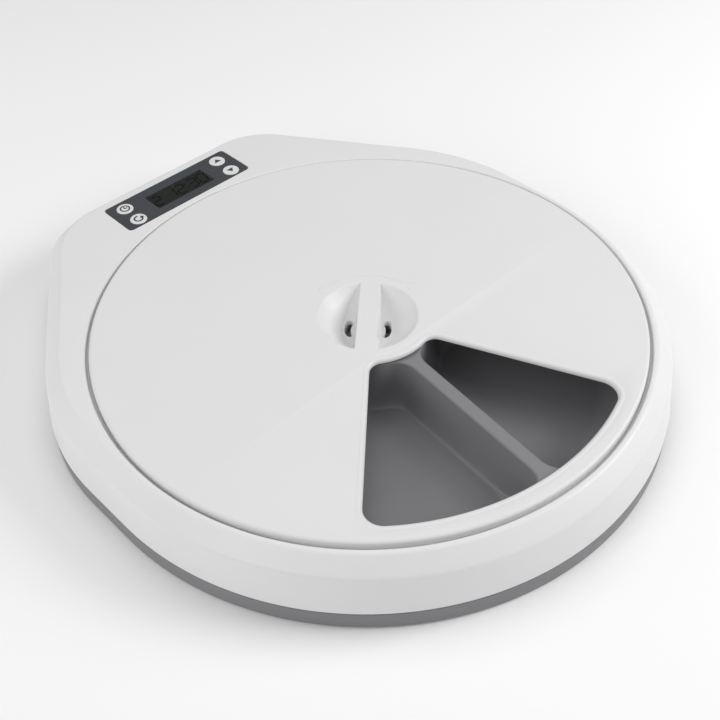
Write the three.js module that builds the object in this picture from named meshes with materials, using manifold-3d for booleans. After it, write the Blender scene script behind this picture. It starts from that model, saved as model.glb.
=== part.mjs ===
// Automatic pet feeder with five meals, built up from separate solids.
// Millimetres, +Z up. Inside the group `assembly` the tray turns about the Z axis, and the control
// panel is on the +Y side.
import * as THREE from 'three';
import { mergeVertices } from 'three/addons/utils/BufferGeometryUtils.js';
import Module from 'manifold-3d';

const wasm = await Module();
wasm.setup();

// ---------------------------------------------------------------- sizes
const GAP = 0.3;                 // between pieces that touch
const RIM_RADIUS = 145;          // inside of the housing's round rim
const RIM_FLAT = 2.5;            // flat strip between rim and bevel
const BEVEL_WIDTH = 8;
const BEVEL_DROP = 7.7;
const DRAFT = 2.9;               // how far the foot stands out past the bevel's lower edge
const TOP_HEIGHT = 40.6;         // top of the housing
const SEAM_HEIGHT = 10.7;        // joint between base pan and shell
const SKIRT_CLEAR = 0.5;         // base pan's skirt above the floor
const SIDE_ANGLE = 33.6;         // slope of the straight sides, degrees
const SIDE_FILLET = 121;
const CORNER_FILLET = 45.7;
const SHELL_WALL = 2.2;

const LEDGE_WIDTH = 3.5;         // shoulder that the lid's edge stands over
const LEDGE_DROP = 3.6;
const LID_PROUD = 1.6;           // lid above the rim
const LID_WALL = 2.2;
const LID_RIM_CLEAR = 1.9;
const LID_EDGE = 1.7;            // rounding of the lid's edge
const LID_SKIRT_WALL = 1.8;
const DISH_RADIUS = 26;
const DISH_DEPTH = 12.4;
const GRIP_WIDTH = 10.4;
const GRIP_ANGLE = 42.5;
const OPENING_ANGLE = 258.5;     // middle of the lid's opening
const OPENING_SPREAD = 35;       // half of its angle
const OPENING_SIDE = 2.2;
const OPENING_INNER = 34.6;
const OPENING_RIM = 11.4;        // lid left outside the opening, measured to the rim
const OPENING_OUTER_FILLET = 9.5;
const OPENING_INNER_FILLET = 7;

const FOOT_HEIGHT = 3;
const FOOT_RADIUS = 7;
const FLOOR_WALL = 2;            // base pan's floor and the well's floor
const FLANGE_HEIGHT = 1.6;
const FLANGE_RADIUS = 16;
const POST_RADIUS = 8;
const LUG_REACH = 4.2;
const LUG_HEIGHT = 2.5;
const LUG_SPREAD = 20;           // half angle of a lug and of the tab below it
const LOCK_TAB_HEIGHT = 2.2;
const COLLAR_WALL = 2.4;
const BEARING_HEIGHT = 1;
const SLOT_SPREAD = 33;

const TRAY_COUNT = 5;
const TRAY_ANGLE = 263.5;        // the divider that stands in the opening
const TRAY_TOP_CLEAR = 3.7;      // tray rim below the lid's top
const TRAY_FLOOR = 1.8;
const TRAY_WALL_CLEAR = 1.2;
const DIVIDER_WIDTH = 7.5;
const HUB_CLEAR = 1.5;            // tray hub outside the lid's dish
const HUB_WALL = 6.5;
const POCKET_OVER_GEAR = 3.3;    // pockets reach this far over the ring gear
const POCKET_FILLET = 11;
const POCKET_FLOOR_ROUND = 4;
const POCKET_OUTER_ROUND = 12;
const POCKET_DRAFT = 2.5;
const HUB_BORE_CLEAR = 0.6;

const GEAR_MODULE = 2.5;
const GEAR_TIP_CLEAR = 1.5;      // ring gear's teeth inside the well
const GEAR_RIM = 2;
const PINION_TEETH = 12;
const GEAR_HEIGHT = 5;
const GEAR_BACKLASH = 0.25;
const TOOTH_FOOT = 0.33;         // half widths of a tooth, as shares of the tooth pitch
const TOOTH_TIP = 0.11;
const PINION_SHAFT = 2.5;
const MAGNET_RADIUS = 2.3;
const MOTOR_RADIUS = 11;
const GEARBOX_HEIGHT = 4.8;
const GEARBOX_LAP = 3.5;         // gearbox case outside the pinion

const LABEL_WIDTH = 87.8;
const LABEL_DEPTH = 26.9;
const LABEL_FROM_RIM = 17.9;     // middle of the label
const LABEL_THICKNESS = 0.8;
const LABEL_CORNER = 2;
const WINDOW_WIDTH = 41.2;
const WINDOW_DEPTH = 14.8;
const WINDOW_X = 0.8;
const PANEL_SHIFT = -0.95;       // window and buttons toward the tray from the label's middle
const BUTTON_RADIUS = 5;
const BUTTON_X = 34.4;
const BUTTON_Y = 6.85;
const BUTTON_PROUD = 0.5;
const BUTTON_TRAVEL = 0.8;
const BUTTON_FLANGE = 1.1;
const BUTTON_FLANGE_REACH = 1.2;
const SWITCH_HEIGHT = 1.5;
const BOARD_WALL = 1.6;
const BOARD_WIDTH = 96;
const BOARD_DEPTH = 31;

const CELL_RADIUS = 7.25;
const CELL_LENGTH = 50.5;
const SPRING_LENGTH = 3;
const BAY_WALL = 1.2;
const BAY_FROM_PINION = 5;
const PLATE_WALL = 0.4;
const DOOR_WALL = 1.4;
const DOOR_LAP = 1.5;
const DOOR_SLIDE = 34;
const REAR_ROOM = 14.7;          // battery bays to the rear wall
const SIDE_ROOM = 3;             // battery bays' outer corners to the straight sides
const SIDE_STAND = 11;           // straight sides outside the front circle
const RAIL_WIDTH = 2.4;
const RAIL_LIP = 0.8;
const SCREW_RADIUS = 1.4;
const SCREW_HEAD_RADIUS = 3.1;
const SCREW_HEAD_HEIGHT = 1.8;
const BOSS_RADIUS = 3.8;
const POST_HOLE_CLEAR = 1;       // well floor's hole round the post
const STANDOFF_RADIUS = 2.4;
const STANDOFF_INSET = 3;        // standoffs in from the board's edges
const LIP_HEIGHT = 3;            // base pan's lip inside the shell
const LIP_WALL = 1.4;
const LIP_CLEAR = 0.8;
const SHAFT_BOSS_WALL = 2.5;
const PILLAR_RADIUS = 2;         // pillars under the gearbox case
const TRAY_LIP = 2;              // depth of the tray's outer lip
const SLOT_FROM_BAR = 3.1;       // the lid's crescent slots
const SLOT_WIDTH = 3.15;
const CELL_NUB_RADIUS = 2.7;
const CELL_NUB_LENGTH = 1.4;
const SPRING_WIRE = 0.4;
const SPRING_BASE = 3.4;         // contact spring's radius at its base and at its tip
const SPRING_TIP = 2.2;
const SPRING_TURNS = 2;
const SPRING_END = SPRING_WIRE + GAP; // from the wall to the wire's middle
const WINDOW_THICKNESS = 1;
const MODULE_LAP = 3;            // display module outside the window
const SWITCH_WIDTH = 6;

// ---------------------------------------------------------------- heights worked out from them
const PAN_FLOOR = FOOT_HEIGHT + GAP;
const PAN_INSIDE = PAN_FLOOR + FLOOR_WALL;
const FLANGE_TOP = PAN_INSIDE + GAP + FLANGE_HEIGHT;
const WELL_UNDER = FLANGE_TOP + GAP;
const WELL_FLOOR = WELL_UNDER + FLOOR_WALL;
const BEARING_TOP = WELL_FLOOR + GAP + BEARING_HEIGHT;
const TRAY_UNDER = BEARING_TOP + GAP;
const LID_TOP = TOP_HEIGHT + LID_PROUD;
const TRAY_TOP = LID_TOP - TRAY_TOP_CLEAR;
const LEDGE_RADIUS = RIM_RADIUS - LEDGE_WIDTH;
const LEDGE_HEIGHT = TOP_HEIGHT - LEDGE_DROP;
const LID_RADIUS = RIM_RADIUS - LID_RIM_CLEAR;
const TRAY_RADIUS = LEDGE_RADIUS - TRAY_WALL_CLEAR;
const WELL_OUTSIDE = LEDGE_RADIUS + SHELL_WALL;
const FRONT_RADIUS = RIM_RADIUS + RIM_FLAT + BEVEL_WIDTH;
const CREASE_HEIGHT = TOP_HEIGHT - BEVEL_DROP;
const RING_TEETH = 2 * Math.floor((LEDGE_RADIUS - GEAR_TIP_CLEAR) / GEAR_MODULE - 1);
const RING_PITCH = GEAR_MODULE * RING_TEETH / 2;
const RING_INSIDE = RING_PITCH - 1.2 * GEAR_MODULE - GEAR_RIM;
const PINION_PITCH = GEAR_MODULE * PINION_TEETH / 2;
const PINION_TIP = PINION_PITCH + GEAR_MODULE;
const PINION_Y = RING_PITCH + PINION_PITCH + GEAR_BACKLASH;
const GEAR_UNDER = TRAY_UNDER;
const GEAR_TOP = GEAR_UNDER + GEAR_HEIGHT;
const LUG_RADIUS = POST_RADIUS + LUG_REACH;
const COLLAR_INSIDE = LUG_RADIUS + 0.4;
const COLLAR_OUTSIDE = COLLAR_INSIDE + COLLAR_WALL;
const DISH_UNDER = LID_TOP - DISH_DEPTH - LID_WALL;
const LUG_TOP = DISH_UNDER - 1.8;
const LUG_UNDER = LUG_TOP - LUG_HEIGHT;
const TAB_TOP = LUG_UNDER - GAP;
const TAB_UNDER = TAB_TOP - LOCK_TAB_HEIGHT;
const HUB_INSIDE = POST_RADIUS + HUB_BORE_CLEAR;
const BAY_LENGTH = 2 * BAY_WALL + CELL_LENGTH + SPRING_LENGTH + PLATE_WALL + 4 * GAP;
const BAY_DEPTH = 4 * CELL_RADIUS + 3 * GAP + 2 * BAY_WALL;
const BAY_INNER_X = PINION_TIP + BAY_FROM_PINION;
const BAY_OUTER_X = BAY_INNER_X + BAY_LENGTH;
const BAY_FRONT_Y = Math.sqrt(WELL_OUTSIDE ** 2 - BAY_INNER_X ** 2) + 0.8;
const BAY_BACK_Y = BAY_FRONT_Y + BAY_DEPTH;
const SLOPE = THREE.MathUtils.degToRad(SIDE_ANGLE);
const BAY_REACH = BAY_OUTER_X * Math.cos(SLOPE) + BAY_BACK_Y * Math.sin(SLOPE);
const SIDE_REACH = Math.max(FRONT_RADIUS + SIDE_STAND, BAY_REACH + SIDE_ROOM);
const REAR_DEPTH = BAY_BACK_Y + REAR_ROOM;
const LABEL_FROM_AXIS = RIM_RADIUS + LABEL_FROM_RIM;
const PANEL_Y = LABEL_FROM_AXIS + PANEL_SHIFT;
const OPENING_OUTER = RIM_RADIUS - OPENING_RIM;
const PLAN_BACK = REAR_DEPTH + DRAFT;
const PLAN_FRONT = FRONT_RADIUS + DRAFT;
const TRAY_AXIS_Y = (PLAN_FRONT - PLAN_BACK) / 2;
const BOARD_TOP = TOP_HEIGHT - SHELL_WALL - BUTTON_FLANGE - BUTTON_TRAVEL - SWITCH_HEIGHT - 4 * GAP;
const SCREW_TOP = PAN_INSIDE + 11;

// ---------------------------------------------------------------- materials
function material(color, roughness, metalness = 0) {
  return new THREE.MeshStandardMaterial({ color, roughness, metalness });
}
const WHITE = material('#e4e4e3', 0.45);
const GRAY = material('#737377', 0.42);
const SLATE = material('#4b4f58', 0.5);
const DARK = material('#1d211f', 0.25);
const BOARD_GREEN = material('#2f6b43', 0.55);
const STEEL = material('#b9bcc0', 0.3, 1);
const BLACK_PLASTIC = material('#26272a', 0.5);
const ACETAL = material('#ece9df', 0.4);
const RUBBER = material('#333336', 0.9);
const CELL_SKIN = material('#3a4a63', 0.35);

// ---------------------------------------------------------------- solids
const feeder = new THREE.Group();
const assembly = new THREE.Group();
assembly.position.y = TRAY_AXIS_Y;
feeder.add(assembly);

function add(name, geometry, skin, x = 0, y = 0, z = 0) {
  const mesh = new THREE.Mesh(geometry, skin);
  mesh.name = name;
  mesh.position.set(x, y, z);
  assembly.add(mesh);
  return mesh;
}

function solid(geometry) {
  const bare = geometry.clone();
  bare.deleteAttribute('normal');
  bare.deleteAttribute('uv');
  const merged = mergeVertices(bare, 1e-4);
  const vertProperties = new Float32Array(merged.attributes.position.array);
  const triVerts = new Uint32Array(merged.index.array);
  return new wasm.Manifold(new wasm.Mesh({ numProp: 3, vertProperties, triVerts }));
}

function geometryOf(manifold) {
  const mesh = manifold.getMesh();
  const geometry = new THREE.BufferGeometry();
  geometry.setAttribute('position', new THREE.BufferAttribute(mesh.vertProperties, 3));
  geometry.setIndex(new THREE.BufferAttribute(mesh.triVerts, 1));
  return geometry;
}

function cylinder(radius, low, high, x = 0, y = 0, sides = 24) {
  const geometry = new THREE.CylinderGeometry(radius, radius, high - low, sides);
  geometry.rotateX(Math.PI / 2);
  geometry.translate(x, y, (low + high) / 2);
  return geometry;
}

function box(xLow, xHigh, yLow, yHigh, low, high) {
  const geometry = new THREE.BoxGeometry(xHigh - xLow, yHigh - yLow, high - low);
  geometry.translate((xLow + xHigh) / 2, (yLow + yHigh) / 2, (low + high) / 2);
  return geometry;
}

function lathe(profile, segments) {
  const points = profile.map(([radius, height]) => new THREE.Vector2(Math.max(radius, 0), height));
  if (THREE.ShapeUtils.area(points) < 0) {
    points.reverse();
  }
  const geometry = new THREE.LatheGeometry(points, segments);
  geometry.rotateX(Math.PI / 2);
  return geometry;
}

function extrude(points, low, high) {
  const geometry = new THREE.ExtrudeGeometry(new THREE.Shape(points), {
    depth: high - low, bevelEnabled: false, steps: 1,
  });
  geometry.translate(0, 0, low);
  return geometry;
}

// A stack of closed rings with equal point counts, capped at both ends.
function loft(rings) {
  const count = rings[0].length;
  const positions = rings.flat().flat();
  const faces = [];
  for (let level = 0; level + 1 < rings.length; level += 1) {
    for (let i = 0; i < count; i += 1) {
      const a = level * count + i;
      const b = level * count + (i + 1) % count;
      faces.push(a, b, b + count, a, b + count, a + count);
    }
  }
  for (const [level, turned] of [[0, true], [rings.length - 1, false]]) {
    const flat = rings[level].map(([x, y]) => new THREE.Vector2(x, y));
    for (const [p, q, r] of THREE.ShapeUtils.triangulateShape(flat, [])) {
      const base = level * count;
      faces.push(base + p, base + (turned ? r : q), base + (turned ? q : r));
    }
  }
  const geometry = new THREE.BufferGeometry();
  geometry.setAttribute('position', new THREE.Float32BufferAttribute(positions, 3));
  geometry.setIndex(faces);
  return geometry;
}

function arc(centreX, centreY, radius, from, to, steps) {
  const points = [];
  for (let i = 0; i <= steps; i += 1) {
    const angle = from + (to - from) * i / steps;
    points.push([centreX + radius * Math.cos(angle), centreY + radius * Math.sin(angle)]);
  }
  return points;
}

// The housing's plan at a distance outside the bevel's lower edge: a front circle, two straight
// sides, a straight back, and the rounding between them.
function housingPlan(outside) {
  const front = FRONT_RADIUS + outside;
  const reach = SIDE_REACH + outside;
  const back = REAR_DEPTH + outside;
  const sideRound = SIDE_FILLET + outside;
  const cornerRound = CORNER_FILLET + outside;
  const sideX = front - sideRound;
  const sideY = (reach - sideRound - sideX * Math.cos(SLOPE)) / Math.sin(SLOPE);
  const cornerY = back - cornerRound;
  const cornerX = (reach - cornerRound - cornerY * Math.sin(SLOPE)) / Math.cos(SLOPE);
  const low = arc(sideX, sideY, sideRound, 0, SLOPE, 6);
  const high = arc(cornerX, cornerY, cornerRound, SLOPE, Math.PI / 2, 6);
  const right = [
    ...arc(0, 0, front, -Math.PI / 2, 0, 20),
    ...low,
    ...between(low[low.length - 1], high[0], 4),
    ...high,
    ...between(high[high.length - 1], [0, back], 4),
    [0, back],
  ];
  const left = right.slice(1, -1).reverse().map(([x, y]) => [-x, y]);
  return [...right, ...left];
}

function between([fromX, fromY], [toX, toY], steps) {
  const points = [];
  for (let i = 1; i < steps; i += 1) {
    points.push([fromX + (toX - fromX) * i / steps, fromY + (toY - fromY) * i / steps]);
  }
  return points;
}

function lift(plan, height) {
  return plan.map(([x, y]) => [x, y, height]);
}

function wedge(middle, spread, side, inner, outer, innerRound, outerRound, steps) {
  // Straight sides stand `side` inside the two radial lines; the ends are arcs about the axis.
  const outAt = Math.asin((side + outerRound) / (outer - outerRound));
  const inAt = Math.asin((side + innerRound) / (inner + innerRound));
  const outC = outer - outerRound;
  const inC = inner + innerRound;
  const half = [
    ...arc(0, 0, outer, 0, spread - outAt, 2 * steps).slice(0, -1),
    ...arc(outC * Math.cos(spread - outAt), outC * Math.sin(spread - outAt), outerRound,
      spread - outAt, spread + Math.PI / 2, steps),
    ...arc(inC * Math.cos(spread - inAt), inC * Math.sin(spread - inAt), innerRound,
      spread + Math.PI / 2, spread - inAt + Math.PI, steps),
    ...arc(0, 0, inner, spread - inAt, 0, steps).slice(1),
  ];
  const other = half.slice(1, -1).reverse().map(([x, y]) => [x, -y]);
  const turn = (x, y) => [
    x * Math.cos(middle) - y * Math.sin(middle), x * Math.sin(middle) + y * Math.cos(middle)];
  return [...half, ...other].map(([x, y]) => turn(x, y));
}

function asPoints(plan) {
  return plan.map(([x, y]) => new THREE.Vector2(x, y));
}

function sector(inner, outer, middle, spread, low, high) {
  const plan = [
    ...arc(0, 0, outer, middle - spread, middle + spread, 6),
    ...arc(0, 0, inner, middle + spread, middle - spread, 6),
  ];
  return extrude(asPoints(plan), low, high);
}

function roundedRectangle(width, depth, corner, x, y) {
  const w = width / 2 - corner;
  const d = depth / 2 - corner;
  const quarter = Math.PI / 2;
  return asPoints([
    ...arc(x + w, y + d, corner, 0, quarter, 4),
    ...arc(x - w, y + d, corner, quarter, 2 * quarter, 4),
    ...arc(x - w, y - d, corner, 2 * quarter, 3 * quarter, 4),
    ...arc(x + w, y - d, corner, 3 * quarter, 4 * quarter, 4),
  ]);
}

function gearPlan(teeth, turn) {
  const pitch = GEAR_MODULE * teeth / 2;
  const tip = pitch + GEAR_MODULE;
  const root = pitch - 1.2 * GEAR_MODULE;
  const step = 2 * Math.PI / teeth;
  const plan = [];
  for (let i = 0; i < teeth; i += 1) {
    const middle = turn + i * step;
    for (const [radius, share] of [
      [root, -TOOTH_FOOT], [tip, -TOOTH_TIP], [tip, TOOTH_TIP], [root, TOOTH_FOOT],
    ]) {
      plan.push([radius * Math.cos(middle + share * step), radius * Math.sin(middle + share * step)]);
    }
  }
  return asPoints(plan);
}

// Rings joined one after the other, the last back to the first.
function ringLoft(rings) {
  const count = rings[0].length;
  const faces = [];
  for (let level = 0; level < rings.length; level += 1) {
    const next = (level + 1) % rings.length;
    for (let i = 0; i < count; i += 1) {
      const j = (i + 1) % count;
      faces.push(level * count + i, level * count + j, next * count + j);
      faces.push(level * count + i, next * count + j, next * count + i);
    }
  }
  const geometry = new THREE.BufferGeometry();
  geometry.setAttribute('position', new THREE.Float32BufferAttribute(rings.flat().flat(), 3));
  geometry.setIndex(faces);
  return geometry;
}

// ---------------------------------------------------------------- places used by several pieces
const radians = THREE.MathUtils.degToRad;
const polar = (radius, angle) => [radius * Math.cos(radians(angle)), radius * Math.sin(radians(angle))];
const CHANNEL_RADIUS = (WELL_OUTSIDE + FRONT_RADIUS - SHELL_WALL) / 2;
const SIDE_CHANNEL = (WELL_OUTSIDE + SIDE_REACH - SHELL_WALL) / 2;
const SCREW_PLACES = [
  polar(CHANNEL_RADIUS, 205), polar(CHANNEL_RADIUS, 250), polar(CHANNEL_RADIUS, 290),
  polar(CHANNEL_RADIUS, 335), polar(SIDE_CHANNEL, 50), polar(SIDE_CHANNEL, 130),
];
const FOOT_CIRCLE = WELL_OUTSIDE - 6;
const REAR_FOOT_X = BAY_OUTER_X + DOOR_LAP + RAIL_WIDTH + FOOT_RADIUS + 1;
const FOOT_REACH = SIDE_REACH - FOOT_RADIUS - 4;
const REAR_FOOT_Y = (FOOT_REACH - REAR_FOOT_X * Math.cos(SLOPE)) / Math.sin(SLOPE);
const FOOT_PLACES = [
  polar(FOOT_CIRCLE, 0), polar(FOOT_CIRCLE, 180), polar(FOOT_CIRCLE, 230), polar(FOOT_CIRCLE, 310),
  [REAR_FOOT_X, REAR_FOOT_Y], [-REAR_FOOT_X, REAR_FOOT_Y],
];
const BUTTONS = {
  set: [-BUTTON_X, PANEL_Y + BUTTON_Y],
  repeat: [-BUTTON_X, PANEL_Y - BUTTON_Y],
  up: [BUTTON_X, PANEL_Y + BUTTON_Y],
  down: [BUTTON_X, PANEL_Y - BUTTON_Y],
};
const BOARD_FRONT = LABEL_FROM_AXIS - BOARD_DEPTH / 2;
const BOARD_BACK = LABEL_FROM_AXIS + BOARD_DEPTH / 2;
const STANDOFF_X = BOARD_WIDTH / 2 - STANDOFF_INSET;
const CELL_Z = PAN_FLOOR + 2 * GAP + CELL_RADIUS;
const BAY_TOP = CELL_Z + CELL_RADIUS + GAP + BAY_WALL;
const DOOR_TOP = PAN_FLOOR - GAP;
const GEARBOX_UNDER = GEAR_TOP + 4 * GAP;
const GEARBOX_TOP = GEARBOX_UNDER + GEARBOX_HEIGHT;
const GEARBOX_FRONT = WELL_OUTSIDE + 4 * GAP;
const GEARBOX_BACK = PINION_Y + PINION_TIP + 1.5;
const GEARBOX_WIDTH = 2 * (PINION_TIP + GEARBOX_LAP);
const REAR_POST = (PINION_TIP + 5) * Math.SQRT1_2;
const POST_PLACES = [[PINION_TIP + 1.5, WELL_OUTSIDE + 2.1], [REAR_POST, PINION_Y + REAR_POST]];
const POCKET_OUTER = RING_INSIDE + POCKET_OVER_GEAR;
const POCKET_INNER = DISH_RADIUS + HUB_CLEAR + HUB_WALL;
const MAGNET_CIRCLE = POCKET_OUTER - POCKET_OUTER_ROUND - 4;
const MAGNET_HEIGHT = 4;
const SENSOR_ANGLE = TRAY_ANGLE + 3 * 360 / TRAY_COUNT;

// ---------------------------------------------------------------- housing
function bodyShell() {
  const plan = housingPlan(0);
  const round = (radius, height) => plan.map(([x, y]) => {
    const size = Math.hypot(x, y);
    return [radius * x / size, radius * y / size, height];
  });
  const inset = SHELL_WALL * Math.tan(Math.atan2(BEVEL_DROP, BEVEL_WIDTH) / 2);
  const rimBack = RIM_RADIUS + (RIM_FLAT - inset) * 0.75;
  const holeRadius = POST_RADIUS + POST_HOLE_CLEAR;
  const wall = ringLoft([
    lift(housingPlan(DRAFT), SEAM_HEIGHT + GAP),
    lift(plan, CREASE_HEIGHT),
    lift(housingPlan(-BEVEL_WIDTH), TOP_HEIGHT),
    round(RIM_RADIUS, TOP_HEIGHT),
    round(RIM_RADIUS, LEDGE_HEIGHT),
    round(LEDGE_RADIUS, LEDGE_HEIGHT),
    round(LEDGE_RADIUS, WELL_FLOOR),
    round(holeRadius, WELL_FLOOR),
    round(holeRadius, WELL_UNDER),
    round(WELL_OUTSIDE, WELL_UNDER),
    round(WELL_OUTSIDE, LEDGE_HEIGHT - SHELL_WALL),
    round(rimBack, LEDGE_HEIGHT - SHELL_WALL),
    round(rimBack, TOP_HEIGHT - SHELL_WALL),
    lift(housingPlan(-BEVEL_WIDTH - inset), TOP_HEIGHT - SHELL_WALL),
    lift(housingPlan(-SHELL_WALL), CREASE_HEIGHT - inset),
    lift(housingPlan(DRAFT - SHELL_WALL), SEAM_HEIGHT + GAP),
  ]);
  let shell = solid(wall);
  const bossTop = (CREASE_HEIGHT + TOP_HEIGHT) / 2 - SHELL_WALL;
  for (const [x, y] of SCREW_PLACES) {
    const top = Math.hypot(x, y) > CHANNEL_RADIUS + 1 ? TOP_HEIGHT - SHELL_WALL / 2 : bossTop;
    shell = shell.add(solid(cylinder(BOSS_RADIUS, PAN_INSIDE + GAP, top, x, y, 14)));
    shell = shell.subtract(solid(cylinder(SCREW_RADIUS + GAP, 0, SCREW_TOP + 1, x, y, 10)));
  }
  for (const x of [-STANDOFF_X, STANDOFF_X]) {
    for (const y of [BOARD_FRONT + STANDOFF_INSET, BOARD_BACK - STANDOFF_INSET]) {
      shell = shell.add(solid(
        cylinder(STANDOFF_RADIUS, BOARD_TOP + GAP, TOP_HEIGHT - SHELL_WALL / 2, x, y, 10)));
    }
  }
  const sweep = PINION_TIP + 1;
  shell = shell.subtract(solid(box(
    -sweep, sweep, LEDGE_RADIUS - 10, WELL_OUTSIDE + 4, GEAR_UNDER - 2 * GAP, GEARBOX_UNDER)));
  const recess = roundedRectangle(
    LABEL_WIDTH + 2 * GAP, LABEL_DEPTH + 2 * GAP, LABEL_CORNER + GAP, 0, LABEL_FROM_AXIS);
  shell = shell.subtract(solid(extrude(recess, TOP_HEIGHT - LABEL_THICKNESS, TOP_HEIGHT + 1)));
  const halfWindow = WINDOW_WIDTH / 2;
  shell = shell.subtract(solid(box(
    WINDOW_X - halfWindow, WINDOW_X + halfWindow, PANEL_Y - WINDOW_DEPTH / 2, PANEL_Y + WINDOW_DEPTH / 2,
    TOP_HEIGHT - SHELL_WALL - 1, TOP_HEIGHT)));
  for (const [x, y] of Object.values(BUTTONS)) {
    shell = shell.subtract(solid(
      cylinder(BUTTON_RADIUS + GAP, TOP_HEIGHT - SHELL_WALL - 1, TOP_HEIGHT, x, y)));
  }
  return geometryOf(shell);
}

function basePan() {
  const lip = DRAFT - SHELL_WALL - LIP_CLEAR;
  const lipHeight = SEAM_HEIGHT + LIP_HEIGHT;
  let pan = solid(loft([
    lift(housingPlan(DRAFT - SHELL_WALL), PAN_FLOOR),
    lift(housingPlan(DRAFT - SHELL_WALL), SKIRT_CLEAR),
    lift(housingPlan(DRAFT), SKIRT_CLEAR),
    lift(housingPlan(DRAFT), SEAM_HEIGHT),
    lift(housingPlan(lip), SEAM_HEIGHT),
    lift(housingPlan(lip), lipHeight),
    lift(housingPlan(lip - LIP_WALL), lipHeight),
    lift(housingPlan(lip - LIP_WALL), PAN_INSIDE),
  ]));
  const shaftHole = PINION_SHAFT + GAP;
  pan = pan.add(solid(cylinder(
    PINION_SHAFT + SHAFT_BOSS_WALL, PAN_INSIDE - 1, GEAR_UNDER - 2 * GAP, 0, PINION_Y)));
  pan = pan.subtract(solid(cylinder(shaftHole, PAN_INSIDE - 0.5, GEAR_UNDER, 0, PINION_Y, 16)));
  for (const side of [-1, 1]) {
    for (const [x, y] of POST_PLACES) {
      pan = pan.add(solid(cylinder(
        PILLAR_RADIUS, PAN_INSIDE - 1, GEARBOX_UNDER - GAP, side * x, y, 10)));
    }
    const inner = side * (BAY_INNER_X + BAY_WALL);
    const outer = side * (BAY_OUTER_X - BAY_WALL);
    pan = pan.subtract(solid(box(
      Math.min(inner, outer), Math.max(inner, outer),
      BAY_FRONT_Y + BAY_WALL, BAY_BACK_Y - BAY_WALL, 0, PAN_INSIDE + 1)));
    for (const [edge, way] of [[BAY_INNER_X - DOOR_LAP, -1], [BAY_OUTER_X + DOOR_LAP, 1]]) {
      pan = pan.add(solid(railAt(side * edge, side * way)));
    }
  }
  for (const [x, y] of SCREW_PLACES) {
    pan = pan.subtract(solid(cylinder(SCREW_RADIUS + GAP, 0, PAN_INSIDE + 1, x, y, 10)));
  }
  return geometryOf(pan);
}

// An L-shaped rail under the pan's floor that holds one edge of a battery door.
function railAt(edge, way) {
  const under = DOOR_TOP - DOOR_WALL - GAP;
  const profile = [
    [edge + way * GAP, PAN_FLOOR + 0.5], [edge + way * RAIL_WIDTH, PAN_FLOOR + 0.5],
    [edge + way * RAIL_WIDTH, under - RAIL_LIP], [edge - way * DOOR_LAP, under - RAIL_LIP],
    [edge - way * DOOR_LAP, under], [edge + way * GAP, under],
  ];
  const length = BAY_DEPTH + 2 * DOOR_LAP + DOOR_SLIDE;
  const points = profile.map(([x, z]) => new THREE.Vector2(x, z));
  const geometry = new THREE.ExtrudeGeometry(new THREE.Shape(points), {
    depth: length, bevelEnabled: false, steps: 1,
  });
  geometry.rotateX(Math.PI / 2);
  geometry.translate(0, BAY_BACK_Y + DOOR_LAP, 0);
  return geometry;
}

// ---------------------------------------------------------------- lid
const GRIP_TURN = radians(GRIP_ANGLE);
const LOCK_TURNS = [GRIP_TURN + Math.PI / 2, GRIP_TURN - Math.PI / 2];

function lidSolid() {
  const ball = (DISH_RADIUS ** 2 + DISH_DEPTH ** 2) / (2 * DISH_DEPTH);
  const centre = LID_TOP - DISH_DEPTH + ball;
  const bowl = (radius, low, high, steps) => arc(0, centre, radius, low, high, steps);
  const rimAngle = Math.asin((LID_TOP - centre) / ball);
  const under = LID_TOP - LID_WALL;
  const outerBall = ball + LID_WALL;
  const underAngle = Math.asin((under - centre) / outerBall);
  const collarAngle = -Math.acos(COLLAR_OUTSIDE / outerBall);
  const insideAngle = -Math.acos(COLLAR_INSIDE / outerBall);
  const skirtFoot = LEDGE_HEIGHT + GAP;
  const edge = LID_RADIUS - LID_EDGE;
  const profile = [
    ...bowl(ball, -Math.PI / 2, rimAngle, 7),
    ...arc(edge, LID_TOP - LID_EDGE, LID_EDGE, Math.PI / 2, 0, 2),
    [LID_RADIUS, skirtFoot],
    [LID_RADIUS - LID_SKIRT_WALL, skirtFoot],
    [LID_RADIUS - LID_SKIRT_WALL, under],
    ...bowl(outerBall, underAngle, collarAngle, 3),
    [COLLAR_OUTSIDE, TAB_UNDER],
    [COLLAR_INSIDE, TAB_UNDER],
    ...bowl(outerBall, insideAngle, -Math.PI / 2, 2),
  ];
  let lid = solid(lathe(profile, 72));
  const halfGrip = GRIP_WIDTH / 2;
  const bar = box(-DISH_RADIUS - 1, DISH_RADIUS + 1, -halfGrip, halfGrip, DISH_UNDER + 1, LID_TOP);
  bar.rotateZ(GRIP_TURN);
  const inside = solid(lathe([
    ...arc(0, centre, ball + 1, -Math.PI / 2, rimAngle, 7),
    [0, LID_TOP],
  ], 48));
  lid = lid.add(solid(bar).intersect(inside));
  for (const turn of LOCK_TURNS) {
    const spread = radians(LUG_SPREAD);
    lid = lid.add(solid(
      sector(POST_RADIUS + 2 * GAP, COLLAR_INSIDE + 0.5, turn, spread, TAB_UNDER, TAB_TOP)));
    const slotInside = halfGrip + SLOT_FROM_BAR;
    const slot = sector(
      slotInside, slotInside + SLOT_WIDTH, turn, radians(SLOT_SPREAD), LUG_TOP, LID_TOP);
    lid = lid.subtract(solid(slot));
  }
  const opening = wedge(radians(OPENING_ANGLE), radians(OPENING_SPREAD), OPENING_SIDE, OPENING_INNER,
    OPENING_OUTER, OPENING_INNER_FILLET, OPENING_OUTER_FILLET, 5);
  lid = lid.subtract(solid(extrude(asPoints(opening), under - 1, LID_TOP + 1)));
  return geometryOf(lid);
}

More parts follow.
